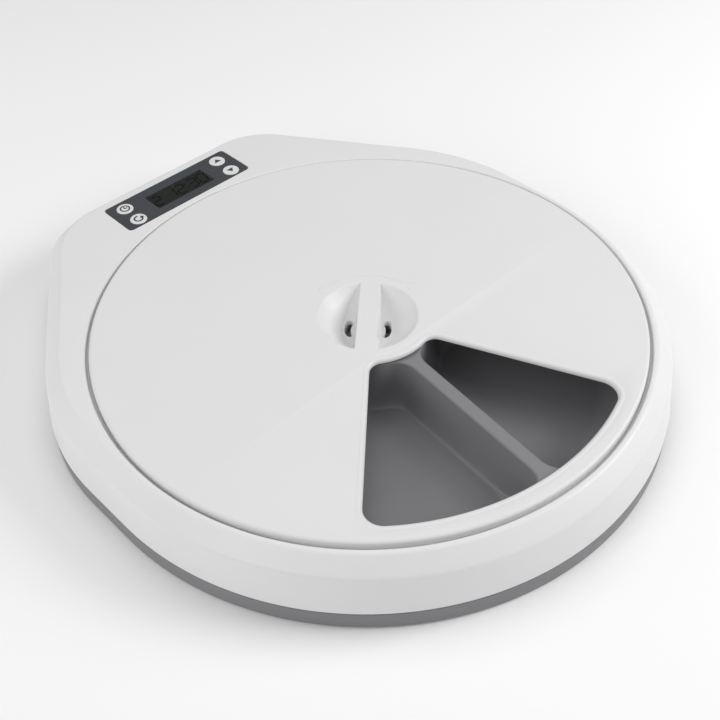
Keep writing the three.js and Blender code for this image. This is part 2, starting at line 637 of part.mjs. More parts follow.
// ---------------------------------------------------------------- tray and its drive
function pocket(middle) {
  const depth = TRAY_TOP - TRAY_UNDER - TRAY_FLOOR;
  const steps = 3;
  const rings = [];
  for (let i = -1; i <= steps; i += 1) {
    // The wall tapers down to where the floor's rounding starts, and then curves into the floor.
    const turn = Math.PI / 2 * Math.max(i, 0) / steps;
    const above = i < 0;
    const down = above ? -1 : depth - POCKET_OUTER_ROUND * (1 - Math.sin(turn));
    const inward = above ? 0 : POCKET_DRAFT * down / depth;
    const side = inward + POCKET_FLOOR_ROUND * (1 - Math.cos(turn));
    const plan = wedge(middle, Math.PI / TRAY_COUNT, DIVIDER_WIDTH / 2 + side, POCKET_INNER + side,
      POCKET_OUTER - inward - POCKET_OUTER_ROUND * (1 - Math.cos(turn)),
      POCKET_FILLET, POCKET_FILLET, 3);
    rings.unshift(lift(plan, TRAY_TOP - down));
  }
  return loft(rings);
}

function trayPart() {
  const bowlOut = POCKET_OUTER - POCKET_DRAFT - POCKET_OUTER_ROUND;
  const bowlRadius = POCKET_OUTER_ROUND + TRAY_FLOOR;
  const hub = DISH_RADIUS + HUB_CLEAR;
  const collarTop = TAB_UNDER - 2;
  const profile = [
    [HUB_INSIDE, TRAY_UNDER],
    ...arc(bowlOut, TRAY_UNDER + bowlRadius, bowlRadius, -Math.PI / 2, 0, 4),
    [POCKET_OUTER + TRAY_FLOOR, TRAY_TOP - TRAY_LIP],
    [TRAY_RADIUS, TRAY_TOP - TRAY_LIP],
    [TRAY_RADIUS, TRAY_TOP],
    [hub, TRAY_TOP],
    [hub, TRAY_UNDER + TRAY_FLOOR],
    [HUB_INSIDE + COLLAR_WALL, TRAY_UNDER + TRAY_FLOOR],
    [HUB_INSIDE + COLLAR_WALL, collarTop],
    [HUB_INSIDE, collarTop],
    [HUB_INSIDE, TRAY_UNDER],
  ];
  let tray = solid(lathe(profile, 60));
  for (let i = 0; i < TRAY_COUNT; i += 1) {
    const divider = TRAY_ANGLE + i * 360 / TRAY_COUNT;
    tray = tray.subtract(solid(pocket(radians(divider + 180 / TRAY_COUNT))));
    const [x, y] = polar(MAGNET_CIRCLE, divider);
    tray = tray.subtract(solid(
      cylinder(MAGNET_RADIUS + GAP, TRAY_UNDER - 1, TRAY_UNDER + MAGNET_HEIGHT + 2 * GAP, x, y, 12)));
  }
  return geometryOf(tray);
}

function trayGear() {
  const step = Math.PI / RING_TEETH;
  const shape = new THREE.Shape(gearPlan(RING_TEETH, Math.PI / 2 + step));
  const hole = new THREE.Path(asPoints(arc(0, 0, RING_INSIDE, 0, 2 * Math.PI, 90).slice(0, -1)));
  shape.holes.push(hole);
  return new THREE.ExtrudeGeometry(shape, { depth: GEAR_HEIGHT, bevelEnabled: false, steps: 1 });
}

function pinionPart() {
  const teeth = extrude(gearPlan(PINION_TEETH, -Math.PI / 2), GEAR_UNDER, GEAR_TOP + GAP);
  const shaft = cylinder(PINION_SHAFT, PAN_INSIDE, GEARBOX_UNDER + 2.5, 0, 0, 16);
  return geometryOf(solid(teeth).add(solid(shaft)));
}

// ---------------------------------------------------------------- small pieces
function battery() {
  const shoulder = CELL_LENGTH - CELL_NUB_LENGTH;
  return lathe([
    [0, 0], [CELL_RADIUS, 0], [CELL_RADIUS, shoulder], [CELL_NUB_RADIUS, shoulder],
    [CELL_NUB_RADIUS, CELL_LENGTH], [0, CELL_LENGTH],
  ], 20);
}

class Coil extends THREE.Curve {
  getPoint(t, target = new THREE.Vector3()) {
    const radius = SPRING_BASE + (SPRING_TIP - SPRING_BASE) * t;
    const angle = 2 * Math.PI * SPRING_TURNS * t;
    return target.set(
      radius * Math.cos(angle), radius * Math.sin(angle), (SPRING_LENGTH - 2 * SPRING_END) * t);
  }
}

function contactSpring() {
  const section = new THREE.Shape(asPoints(arc(0, 0, SPRING_WIRE, 0, 2 * Math.PI, 5).slice(0, -1)));
  const geometry = new THREE.ExtrudeGeometry(section, {
    extrudePath: new Coil(), steps: 20, bevelEnabled: false,
  });
  geometry.translate(0, 0, SPRING_END);
  return geometry;
}

function screwPart() {
  return lathe([
    [0, DOOR_TOP - SCREW_HEAD_HEIGHT], [SCREW_HEAD_RADIUS, DOOR_TOP - SCREW_HEAD_HEIGHT],
    [SCREW_HEAD_RADIUS, DOOR_TOP], [SCREW_RADIUS, DOOR_TOP],
    [SCREW_RADIUS, SCREW_TOP], [0, SCREW_TOP],
  ], 12);
}

// ---------------------------------------------------------------- assembly
add('body_shell', bodyShell(), WHITE);
add('base_pan', basePan(), GRAY);
add('lid', lidSolid(), WHITE);
add('food_tray', trayPart(), GRAY);
add('tray_gear', trayGear(), ACETAL, 0, 0, GEAR_UNDER);
add('drive_pinion', pinionPart(), ACETAL, 0, PINION_Y);
for (let i = 0; i < TRAY_COUNT; i += 1) {
  const [x, y] = polar(MAGNET_CIRCLE, TRAY_ANGLE + i * 360 / TRAY_COUNT);
  add(`index_magnet_${i + 1}`, cylinder(MAGNET_RADIUS, 0, MAGNET_HEIGHT, 0, 0, 12), STEEL, x, y,
    TRAY_UNDER + GAP);
}
const [sensorX, sensorY] = polar(MAGNET_CIRCLE, SENSOR_ANGLE);
add('index_sensor', box(-4, 4, -3, 3, 0, 1.4), BOARD_GREEN, sensorX, sensorY, PAN_INSIDE + GAP);

const post = [
  [0, PAN_INSIDE + GAP], [FLANGE_RADIUS, PAN_INSIDE + GAP], [FLANGE_RADIUS, FLANGE_TOP],
  [POST_RADIUS, FLANGE_TOP], [POST_RADIUS, LUG_TOP], [0, LUG_TOP],
];
const lugs = LOCK_TURNS.map((turn) => solid(
  sector(POST_RADIUS - 1, LUG_RADIUS, turn, radians(LUG_SPREAD), LUG_UNDER, LUG_TOP)));
add('center_post', geometryOf(solid(lathe(post, 32)).add(lugs[0]).add(lugs[1])), GRAY);
const washerInside = POST_RADIUS + 2 * GAP;
const washerOutside = HUB_INSIDE + COLLAR_WALL + 3;
add('tray_bearing', lathe([
  [washerInside, 0], [washerOutside, 0], [washerOutside, BEARING_HEIGHT],
  [washerInside, BEARING_HEIGHT], [washerInside, 0],
], 32), ACETAL, 0, 0, WELL_FLOOR + GAP);

const gearboxPlan = roundedRectangle(
  GEARBOX_WIDTH, GEARBOX_BACK - GEARBOX_FRONT, 3, 0, (GEARBOX_BACK + GEARBOX_FRONT) / 2);
const shaftSocket = cylinder(PINION_SHAFT + GAP, GEARBOX_UNDER - 1, GEARBOX_UNDER + 3, 0, PINION_Y, 16);
const gearbox = solid(extrude(gearboxPlan, GEARBOX_UNDER, GEARBOX_TOP)).subtract(solid(shaftSocket));
add('gearbox_case', geometryOf(gearbox), BLACK_PLASTIC);
const motorHeight = BOARD_TOP - BOARD_WALL - GEARBOX_TOP - 2 * GAP;
add('motor', cylinder(MOTOR_RADIUS, 0, motorHeight, 0, 0, 32), STEEL, 0,
  (GEARBOX_BACK + GEARBOX_FRONT) / 2, GEARBOX_TOP + GAP);

add('control_board', box(-BOARD_WIDTH / 2, BOARD_WIDTH / 2, BOARD_FRONT, BOARD_BACK, 0, BOARD_WALL),
  BOARD_GREEN, 0, 0, BOARD_TOP - BOARD_WALL);
const moduleWidth = WINDOW_WIDTH + 2 * MODULE_LAP;
const moduleDepth = WINDOW_DEPTH + 2 * MODULE_LAP;
const moduleHeight = TOP_HEIGHT - SHELL_WALL - BOARD_TOP - 2 * GAP;
add('display_module', box(-moduleWidth / 2, moduleWidth / 2, -moduleDepth / 2, moduleDepth / 2, 0,
  moduleHeight), DARK, WINDOW_X, PANEL_Y, BOARD_TOP + GAP);
const paneX = WINDOW_WIDTH / 2 - GAP;
const paneY = WINDOW_DEPTH / 2 - GAP;
add('display_window', box(-paneX, paneX, -paneY, paneY, 0, WINDOW_THICKNESS), DARK, WINDOW_X, PANEL_Y,
  TOP_HEIGHT - LABEL_THICKNESS - 0.4);

const labelShape = new THREE.Shape(
  roundedRectangle(LABEL_WIDTH, LABEL_DEPTH, LABEL_CORNER, 0, LABEL_FROM_AXIS));
labelShape.holes.push(new THREE.Path(
  roundedRectangle(WINDOW_WIDTH, WINDOW_DEPTH, 0.4, WINDOW_X, PANEL_Y)));
for (const [x, y] of Object.values(BUTTONS)) {
  const edge = arc(x, y, BUTTON_RADIUS + GAP, 0, 2 * Math.PI, 24).slice(0, -1);
  labelShape.holes.push(new THREE.Path(asPoints(edge)));
}
add('control_label', new THREE.ExtrudeGeometry(labelShape, {
  depth: LABEL_THICKNESS, bevelEnabled: false, steps: 1,
}), SLATE, 0, 0, TOP_HEIGHT - LABEL_THICKNESS + GAP);

const flangeTop = TOP_HEIGHT - SHELL_WALL - GAP;
for (const [name, [x, y]] of Object.entries(BUTTONS)) {
  const cap = lathe([
    [0, flangeTop - BUTTON_FLANGE], [BUTTON_RADIUS + BUTTON_FLANGE_REACH, flangeTop - BUTTON_FLANGE],
    [BUTTON_RADIUS + BUTTON_FLANGE_REACH, flangeTop], [BUTTON_RADIUS, flangeTop],
    [BUTTON_RADIUS, TOP_HEIGHT + BUTTON_PROUD - 0.5], [BUTTON_RADIUS - 0.5, TOP_HEIGHT + BUTTON_PROUD],
    [0, TOP_HEIGHT + BUTTON_PROUD],
  ], 24);
  add(`button_${name}`, cap, WHITE, x, y);
  const halfSwitch = SWITCH_WIDTH / 2;
  add(`switch_${name}`, box(-halfSwitch, halfSwitch, -halfSwitch, halfSwitch, 0, SWITCH_HEIGHT),
    BLACK_PLASTIC, x, y, BOARD_TOP + GAP);
}

for (const [name, side] of [['left', -1], ['right', 1]]) {
  const across = (from, to) => (side > 0 ? [from, to] : [-to, -from]);
  const outer = box(
    ...across(BAY_INNER_X, BAY_OUTER_X), BAY_FRONT_Y, BAY_BACK_Y, PAN_INSIDE + GAP, BAY_TOP);
  const inner = box(...across(BAY_INNER_X + BAY_WALL, BAY_OUTER_X - BAY_WALL),
    BAY_FRONT_Y + BAY_WALL, BAY_BACK_Y - BAY_WALL, PAN_INSIDE - 1, BAY_TOP - BAY_WALL);
  add(`battery_box_${name}`, geometryOf(solid(outer).subtract(solid(inner))), BLACK_PLASTIC);
  const plateX = BAY_INNER_X + BAY_WALL + GAP;
  add(`contact_plate_${name}`, box(...across(plateX, plateX + PLATE_WALL),
    BAY_FRONT_Y + BAY_WALL + 3, BAY_BACK_Y - BAY_WALL - 3, CELL_Z - 5, CELL_Z + 5), STEEL);
  for (const row of [0, 1]) {
    const y = BAY_FRONT_Y + BAY_WALL + GAP + CELL_RADIUS + row * (2 * CELL_RADIUS + GAP);
    const number = row + 1;
    const cell = add(`battery_${name}_${number}`, battery(), CELL_SKIN,
      side * (plateX + PLATE_WALL + GAP), y, CELL_Z);
    cell.rotation.y = side * Math.PI / 2;
    const spring = add(`contact_spring_${name}_${number}`, contactSpring(), STEEL,
      side * (BAY_OUTER_X - BAY_WALL), y, CELL_Z);
    spring.rotation.y = -side * Math.PI / 2;
  }
  const plate = box(...across(BAY_INNER_X - DOOR_LAP, BAY_OUTER_X + DOOR_LAP),
    BAY_FRONT_Y - DOOR_LAP, BAY_BACK_Y + DOOR_LAP, DOOR_TOP - DOOR_WALL, DOOR_TOP);
  add(`battery_door_${name}`, plate, GRAY);
}

SCREW_PLACES.forEach(([x, y], i) => add(`case_screw_${i + 1}`, screwPart(), STEEL, x, y));
FOOT_PLACES.forEach(([x, y], i) => {
  add(`foot_${i + 1}`, cylinder(FOOT_RADIUS, 0, FOOT_HEIGHT, 0, 0, 24), RUBBER, x, y);
});

export default feeder;
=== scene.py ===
"""Five-meal automatic pet feeder: the visible pieces, their finishes and a plain studio."""
import math

import bmesh
import bpy
import numpy as np
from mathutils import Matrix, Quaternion, Vector
from mathutils.geometry import delaunay_2d_cdt, tessellate_polygon


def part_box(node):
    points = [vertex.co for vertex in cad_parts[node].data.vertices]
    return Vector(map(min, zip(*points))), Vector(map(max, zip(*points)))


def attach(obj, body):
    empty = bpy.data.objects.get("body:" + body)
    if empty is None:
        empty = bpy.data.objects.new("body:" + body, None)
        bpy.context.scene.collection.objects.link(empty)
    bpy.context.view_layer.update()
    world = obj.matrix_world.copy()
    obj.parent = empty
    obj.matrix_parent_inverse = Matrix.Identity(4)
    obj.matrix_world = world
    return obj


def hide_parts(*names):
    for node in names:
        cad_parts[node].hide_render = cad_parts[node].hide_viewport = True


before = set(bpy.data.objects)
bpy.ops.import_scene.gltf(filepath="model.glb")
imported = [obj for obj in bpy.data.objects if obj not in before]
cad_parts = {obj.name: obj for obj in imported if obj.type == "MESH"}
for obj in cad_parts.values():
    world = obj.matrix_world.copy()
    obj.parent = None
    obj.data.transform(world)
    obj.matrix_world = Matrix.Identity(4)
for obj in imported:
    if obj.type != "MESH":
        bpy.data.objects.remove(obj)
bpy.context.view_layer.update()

# ---------------------------------------------------------------- sizes, in metres
MM = 0.001
SHARP_ANGLE = math.radians(35)
LID_LOW, LID_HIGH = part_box("lid")
SHELL_LOW, SHELL_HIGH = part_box("body_shell")
TRAY_LOW, TRAY_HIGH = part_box("food_tray")
LABEL_LOW, LABEL_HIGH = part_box("control_label")
WINDOW_LOW, WINDOW_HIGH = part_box("display_window")
PAN_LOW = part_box("base_pan")[0]
AXIS_Y = (LID_LOW[1] + LID_HIGH[1]) / 2
LID_RADIUS = (LID_HIGH[0] - LID_LOW[0]) / 2
LID_TOP = LID_HIGH[2]
TRAY_RADIUS = (TRAY_HIGH[0] - TRAY_LOW[0]) / 2
TRAY_TOP = TRAY_HIGH[2]
HOUSING_TOP = SHELL_HIGH[2]
BUTTONS = ("set", "repeat", "up", "down")

RIM_CLEAR = 1.9 * MM            # lid's edge to the round rim
LEDGE_WIDTH = 3.5 * MM
LEDGE_DROP = 3.6 * MM
RIM_RADIUS = LID_RADIUS + RIM_CLEAR
LEDGE_RADIUS = RIM_RADIUS - LEDGE_WIDTH
LEDGE_HEIGHT = HOUSING_TOP - LEDGE_DROP
BEVEL_WIDTH = 8 * MM
BEVEL_DROP = 7.7 * MM
DRAFT = 2.9 * MM
SHELL_WALL = 2.2 * MM
SEAM = 10.7 * MM
GAP = 0.3 * MM
FRONT_RADIUS = (SHELL_HIGH[0] - SHELL_LOW[0]) / 2 - DRAFT
REAR_DEPTH = SHELL_HIGH[1] - DRAFT - AXIS_Y
SIDE_STAND = 11 * MM            # straight sides outside the front circle
SIDE_REACH = FRONT_RADIUS + SIDE_STAND
SIDE_SLOPE = math.radians(33.6)
SIDE_ROUND = 121 * MM
CORNER_ROUND = 45.7 * MM
WELL_FLOOR = 9.5 * MM
WELL_UNDER = WELL_FLOOR - 2 * MM
POST_HOLE = 9 * MM
SCREW_HOLE = 1.7 * MM
SCREW_SINK = 3.9 * MM
BOSS_RADIUS = 3.8 * MM
CASE_SCREWS = [f"case_screw_{number}" for number in range(1, 7)]
LABEL_CORNER = 2 * MM
WINDOW_CORNER = 0.4 * MM
LIP_TOP = SEAM + 3 * MM         # base pan's lip inside the shell
LIP_WALL = 1.4 * MM
LIP_CLEAR = 0.8 * MM
RIB_RADII = (46 * MM, 92 * MM)
RAIL_WIDTH = 2.4 * MM
DOOR_TRAVEL = 34 * MM

DISH_RADIUS = 26 * MM
DISH_DEPTH = 12.4 * MM
GRIP_WIDTH = 10.4 * MM
SLOT_FROM_BAR = 4 * MM
SLOT_WIDTH = 3.15 * MM
SLOT_INNER = GRIP_WIDTH / 2 + SLOT_FROM_BAR
SLOT_OUTER = SLOT_INNER + SLOT_WIDTH
SLOT_SPREAD = math.radians(33)
GRIP_TURN = math.radians(42.5)
LID_WALL = 2.2 * MM
LID_LOW_EDGE = LEDGE_HEIGHT + GAP
LOCK_UNDER = 29.1 * MM          # underside of the dish inside the locking collar
COLLAR_FOOT = 20.8 * MM
COLLAR_OUTER = 15.05 * MM
COLLAR_INNER = 12.6 * MM
TAB_TOP = 23.0 * MM
TAB_OUTER = 12.8 * MM
TAB_INNER = 8.6 * MM
TAB_SPREAD = math.radians(20)
OPENING_MIDDLE = math.radians(258.5)
OPENING_HALF = math.radians(35)
OPENING_OUTER = RIM_RADIUS - 11.4 * MM
OPENING_INNER = 34.6 * MM
OPENING_SIDE = 2.2 * MM
OPENING_INNER_ROUND = 7 * MM
OPENING_OUTER_ROUND = 9.5 * MM

TRAY_TURN = math.radians(263.5)
TRAY_COUNT = 5
TRAY_FLOOR = 1.8 * MM
TRAY_UNDER = 11.1 * MM
TRAY_LIP = 2 * MM
HUB_BORE = 8.6 * MM
HUB_WALL = 2.4 * MM
HUB_SLEEVE_TOP = 18.8 * MM
HUB_SIDE = DISH_RADIUS + 1.5 * MM
POCKET_OUTER = TRAY_RADIUS - 4.5 * MM
POCKET_INNER = DISH_RADIUS + 8 * MM
DIVIDER_WIDTH = 7.5 * MM
POCKET_ROUND = 11 * MM


# ---------------------------------------------------------------- outlines
def arc(centre, radius, start, end, count):
    """Points of a circle about centre, evenly spaced from the start angle to the end angle."""
    angle = np.linspace(start, end, count)
    return np.stack([centre[0] + radius * np.cos(angle), centre[1] + radius * np.sin(angle)], axis=1)


def stretch(start, end, count):
    """Evenly spaced points of a straight line, without its two ends."""
    share = np.linspace(0, 1, count + 2)[1:-1, None]
    return np.asarray(start) * (1 - share) + np.asarray(end) * share


def housing_plan(outside):
    """The housing's outline about the tray axis, a distance outside the bevel's lower edge: a front
    half circle, a rounding into a sloping straight side, a corner rounding, and a straight back,
    mirrored in the Y axis."""
    front = FRONT_RADIUS + outside
    side = SIDE_ROUND + outside
    corner = CORNER_ROUND + outside
    reach = SIDE_REACH + outside
    back = REAR_DEPTH + outside
    slope = SIDE_SLOPE
    side_x = front - side
    side_y = (reach - side - side_x * math.cos(slope)) / math.sin(slope)
    corner_y = back - corner
    corner_x = (reach - corner - corner_y * math.sin(slope)) / math.cos(slope)
    low = arc((side_x, side_y), side, 0, slope, 24)
    high = arc((corner_x, corner_y), corner, slope, math.pi / 2, 26)
    right = np.concatenate([
        arc((0, 0), front, -math.pi / 2, 0, 70), stretch((front, 0), low[0], 8), low,
        stretch(low[-1], high[0], 16), high, stretch(high[-1], (0, back), 14), [(0, back)]])
    left = right[1:-1][::-1] * (-1, 1)
    return np.concatenate([right, left])


PLAN_TURN = np.arctan2(*housing_plan(0).T[::-1])


def round_plan(radius):
    """A circle about the tray axis with one point on the same bearing as each point of the housing."""
    return np.stack([radius * np.cos(PLAN_TURN), radius * np.sin(PLAN_TURN)], axis=1)


def wedge(middle, half, side, inner, outer, inner_round, outer_round, count):
    """A rounded wedge about the tray axis: its straight sides stand `side` inside two radial lines,
    its ends are arcs about the axis, and its corners are arcs that touch both."""
    at_outer = math.asin((side + outer_round) / (outer - outer_round))
    at_inner = math.asin((side + inner_round) / (inner + inner_round))
    far = outer - outer_round
    near = inner + inner_round
    far_turn = half - at_outer
    near_turn = half - at_inner
    far_centre = (far * math.cos(far_turn), far * math.sin(far_turn))
    near_centre = (near * math.cos(near_turn), near * math.sin(near_turn))
    corner_out = arc(far_centre, outer_round, far_turn, half + math.pi / 2, count)
    corner_in = arc(near_centre, inner_round, half + math.pi / 2, near_turn + math.pi, count)
    upper = np.concatenate([
        arc((0, 0), outer, 0, far_turn, 2 * count)[:-1], corner_out,
        stretch(corner_out[-1], corner_in[0], 2 * count), corner_in,
        arc((0, 0), inner, near_turn, 0, count)[1:]])
    whole = np.concatenate([upper, upper[1:-1][::-1] * (1, -1)])
    turn = np.array([[math.cos(middle), math.sin(middle)], [-math.sin(middle), math.cos(middle)]])
    return whole @ turn


def rounded_path(points, radii, steps=6):
    """A bent line with each inner corner replaced by an arc of its radius that touches both sides."""
    points = [np.asarray(p, float) for p in points]
    path = [points[0][None]]
    for before, here, after, radius in zip(points, points[1:], points[2:], radii):
        back = (before - here) / np.linalg.norm(before - here)
        ahead = (after - here) / np.linalg.norm(after - here)
        half = math.acos(np.clip(back @ ahead, -1, 1)) / 2
        reach = radius / math.tan(half)
        middle = (back + ahead) / np.linalg.norm(back + ahead)
        centre = here + middle * radius / math.sin(half)
        start = here + back * reach - centre
        finish = here + ahead * reach - centre
        bend = math.pi - 2 * half
        share = np.linspace(0, 1, steps + 1)[:, None]
        blend = np.sin((1 - share) * bend) * start + np.sin(share * bend) * finish
        path.append(centre + blend / math.sin(bend))
    path.append(points[-1][None])
    return np.concatenate(path)


# ---------------------------------------------------------------- meshes
class Skin:
    """Vertices and faces gathered block by block, with blocks joined where their points meet."""

    def __init__(self):
        self.points = []
        self.faces = []
        self.count = 0

    def add(self, points, faces):
        self.points.append(np.asarray(points, float))
        self.faces += (np.asarray(faces) + self.count).tolist()
        self.count += len(points)

    def rings(self, rings, closed=False):
        """Quads between neighbouring rings of equal length; closed joins the last to the first."""
        rings = np.asarray(rings, float)
        levels, around = rings.shape[:2]
        index = np.arange(levels * around).reshape(levels, around)
        if closed:
            index = np.concatenate([index, index[:1]])
        ahead = np.roll(index, -1, axis=1)
        quads = np.stack([index[:-1], ahead[:-1], ahead[1:], index[1:]], axis=-1).reshape(-1, 4)
        self.add(rings.reshape(-1, 3), quads)

    def cap(self, ring):
        """A fan from a ring's middle."""
        ring = np.asarray(ring, float)
        around = len(ring)
        index = np.arange(around)
        fan = np.stack([index, np.roll(index, -1), np.full(around, around)], axis=1)
        self.add(np.concatenate([ring, ring.mean(axis=0)[None]]), fan)

    def flat(self, loops, height):
        """A flat face at one height, bounded by the first loop and pierced by the others."""
        outlines = [[Vector((x, y, 0)) for x, y in loop[:, :2]] for loop in loops]
        points = np.concatenate([loop[:, :2] for loop in loops])
        self.add(np.column_stack([points, np.full(len(points), height)]), tessellate_polygon(outlines))

    def beam(self, section, ends):
        """A closed bar along Y: a section of X and height, filled at both ends."""
        rings = [[(x, y, z) for x, z in section] for y in ends]
        self.rings(rings)
        faces = tessellate_polygon([[Vector((x, z, 0)) for x, z in section]])
        for ring in rings:
            self.add(ring, faces)

    def closed_turn(self, profile, count, middle):
        """A shape turned about a plan point, filled at both ends."""
        rings = turned(profile, count) + (*middle, 0)
        self.rings(rings)
        self.cap(rings[0])
        self.cap(rings[-1])

    def mesh(self, name):
        """The gathered faces as one mesh in the frame, with outward normals."""
        mesh = bpy.data.meshes.new(name)
        points = np.concatenate(self.points) + (0, AXIS_Y, 0)
        mesh.from_pydata(points.tolist(), [], self.faces)
        work = bmesh.new()
        work.from_mesh(mesh)
        bmesh.ops.remove_doubles(work, verts=work.verts, dist=2e-6)
        bmesh.ops.dissolve_degenerate(work, edges=work.edges, dist=1e-7)
        bmesh.ops.recalc_face_normals(work, faces=work.faces)
        work.to_mesh(mesh)
        work.free()
        return mesh


def lift(plan, height):
    """An outline raised to a height."""
    return np.column_stack([plan, np.full(len(plan), height)])


def turned(profile, count=192):
    """Rings of a shape turned about the tray axis from a profile of radius and height."""
    angle = np.linspace(0, 2 * math.pi, count, endpoint=False)
    circle = np.stack([np.cos(angle), np.sin(angle)], axis=1)
    return np.stack([lift(circle * radius, height) for radius, height in profile])


def place(name, skin, body, material, nodes=()):
    """A finished object at the origin that rides on a body and stands for CAD nodes."""
    mesh = skin.mesh(name)
    mesh.shade_smooth()
    mesh.set_sharp_from_angle(angle=SHARP_ANGLE)
    obj = bpy.data.objects.new(name, mesh)
    bpy.context.scene.collection.objects.link(obj)
    mesh.materials.clear()
    mesh.materials.append(material)
    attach(obj, body)
    if nodes:
        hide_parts(*nodes)
    return obj


def rounded_rectangle(width, depth, corner, count=8):
    """A rectangle about its middle with quarter circles for corners."""
    x, y = width / 2 - corner, depth / 2 - corner
    quarter = math.pi / 2
    middles = [(x, y), (-x, y), (-x, -y), (x, -y)]
    return np.concatenate([
        arc(middle, corner, i * quarter, (i + 1) * quarter, count) for i, middle in enumerate(middles)])


def middle_of(node):
    """The middle of a CAD node in plan."""
    low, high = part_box(node)
    return ((low[0] + high[0]) / 2, (low[1] + high[1]) / 2)


# ---------------------------------------------------------------- shared finishes
def node_group(name, sockets_in, sockets_out):
    """An empty shader group with its sockets; returns the tree and its input and output nodes."""
    tree = bpy.data.node_groups.new(name, "ShaderNodeTree")
    for label, kind, value in sockets_in:
        socket = tree.interface.new_socket(name=label, in_out="INPUT", socket_type=kind)
        if value is not None:
            socket.default_value = value
    for label, kind in sockets_out:
        tree.interface.new_socket(name=label, in_out="OUTPUT", socket_type=kind)
    return tree, tree.nodes.new("NodeGroupInput"), tree.nodes.new("NodeGroupOutput")


def wire(tree, kind, links=(), **values):
    """A node with its properties set and its inputs linked: (input, node, output) for each link."""
    node = tree.nodes.new(kind)
    for key, value in values.items():
        setattr(node, key, value)
    for target, source, output in links:
        tree.links.new(source.outputs[output], node.inputs[target])
    return node


def maths(tree, operation, first, second):
    """A Math node; each operand is a number or a (node, output) pair."""
    node = wire(tree, "ShaderNodeMath", operation=operation)
    for index, operand in enumerate((first, second)):
        if isinstance(operand, tuple):
            tree.links.new(operand[0].outputs[operand[1]], node.inputs[index])
        else:
            node.inputs[index].default_value = operand
    return node


def mapped(tree, source, output, from_low, from_high, to_low, to_high):
    """A value carried from one range to another and held inside it."""
    node = wire(tree, "ShaderNodeMapRange", [("Value", source, output)])
    limits = {"From Min": from_low, "From Max": from_high, "To Min": to_low, "To Max": to_high}
    for socket, value in limits.items():
        node.inputs[socket].default_value = value
    return node


def grain_group():
    """Moulded grain: two sizes of noise summed for the height, and slow clouds for tint and gloss."""
    tree, into, out = node_group(
        "moulded_grain",
        [("Fineness", "NodeSocketFloat", 2600.0), ("Cloud size", "NodeSocketFloat", 22.0)],
        [("Height", "NodeSocketFloat"), ("Tint", "NodeSocketFloat"), ("Gloss", "NodeSocketFloat")])
    place_node = wire(tree, "ShaderNodeTexCoord")
    at = ("Vector", place_node, "Object")
    fine = wire(tree, "ShaderNodeTexNoise", [at, ("Scale", into, "Fineness")])
    fine.inputs["Detail"].default_value = 2
    coarse_scale = maths(tree, "MULTIPLY", (into, "Fineness"), 0.31)
    coarse = wire(tree, "ShaderNodeTexVoronoi", [at, ("Scale", coarse_scale, 0)])
    height = maths(tree, "ADD", (fine, "Fac"), (coarse, "Distance"))
    cloud = wire(tree, "ShaderNodeTexNoise", [at, ("Scale", into, "Cloud size")])
    cloud.inputs["Detail"].default_value = 5
    streak_scale = maths(tree, "MULTIPLY", (into, "Cloud size"), 3.7)
    streak = wire(tree, "ShaderNodeTexNoise", [at, ("Scale", streak_scale, 0)])
    streak.inputs["Distortion"].default_value = 1.2
    tree.links.new(height.outputs[0], out.inputs["Height"])
    tree.links.new(cloud.outputs["Fac"], out.inputs["Tint"])
    tree.links.new(streak.outputs["Fac"], out.inputs["Gloss"])
    return tree


def wear_group():
    """Handling: dust that settles on faces turned up, and fine rubbed scratches, as two masks."""
    tree, into, out = node_group(
        "handling",
        [("Dust", "NodeSocketFloat", 0.2), ("Rubbing", "NodeSocketFloat", 0.3)],
        [("Dust mask", "NodeSocketFloat"), ("Rub mask", "NodeSocketFloat")])
    place_node = wire(tree, "ShaderNodeTexCoord")
    facing = wire(tree, "ShaderNodeNewGeometry")
    upward = wire(tree, "ShaderNodeSeparateXYZ", [("Vector", facing, "Normal")])
    settled = mapped(tree, upward, "Z", 0.55, 1.0, 0.0, 1.0)
    speck = wire(tree, "ShaderNodeTexNoise", [("Vector", place_node, "Object")])
    speck.inputs["Scale"].default_value = 310
    speck.inputs["Detail"].default_value = 6
    specks = mapped(tree, speck, "Fac", 0.5, 0.78, 0.0, 1.0)
    dusty = maths(tree, "MULTIPLY", (settled, 0), (specks, 0))
    dust = maths(tree, "MULTIPLY", (dusty, 0), (into, "Dust"))
    stretched = wire(tree, "ShaderNodeMapping", [("Vector", place_node, "Object")])
    stretched.inputs["Scale"].default_value = (1, 14, 6)
    stretched.inputs["Rotation"].default_value = (0, 0, 0.6)
    scratch = wire(tree, "ShaderNodeTexNoise", [("Vector", stretched, "Vector")])
    scratch.inputs["Scale"].default_value = 60
    scratch.inputs["Detail"].default_value = 8
    scratches = mapped(tree, scratch, "Fac", 0.58, 0.72, 0.0, 1.0)
    rub = maths(tree, "MULTIPLY", (scratches, 0), (into, "Rubbing"))
    tree.links.new(dust.outputs[0], out.inputs["Dust mask"])
    tree.links.new(rub.outputs[0], out.inputs["Rub mask"])
    return tree


GRAIN = grain_group()
WEAR = wear_group()
DUST_COLOUR = (0.62, 0.61, 0.58, 1)


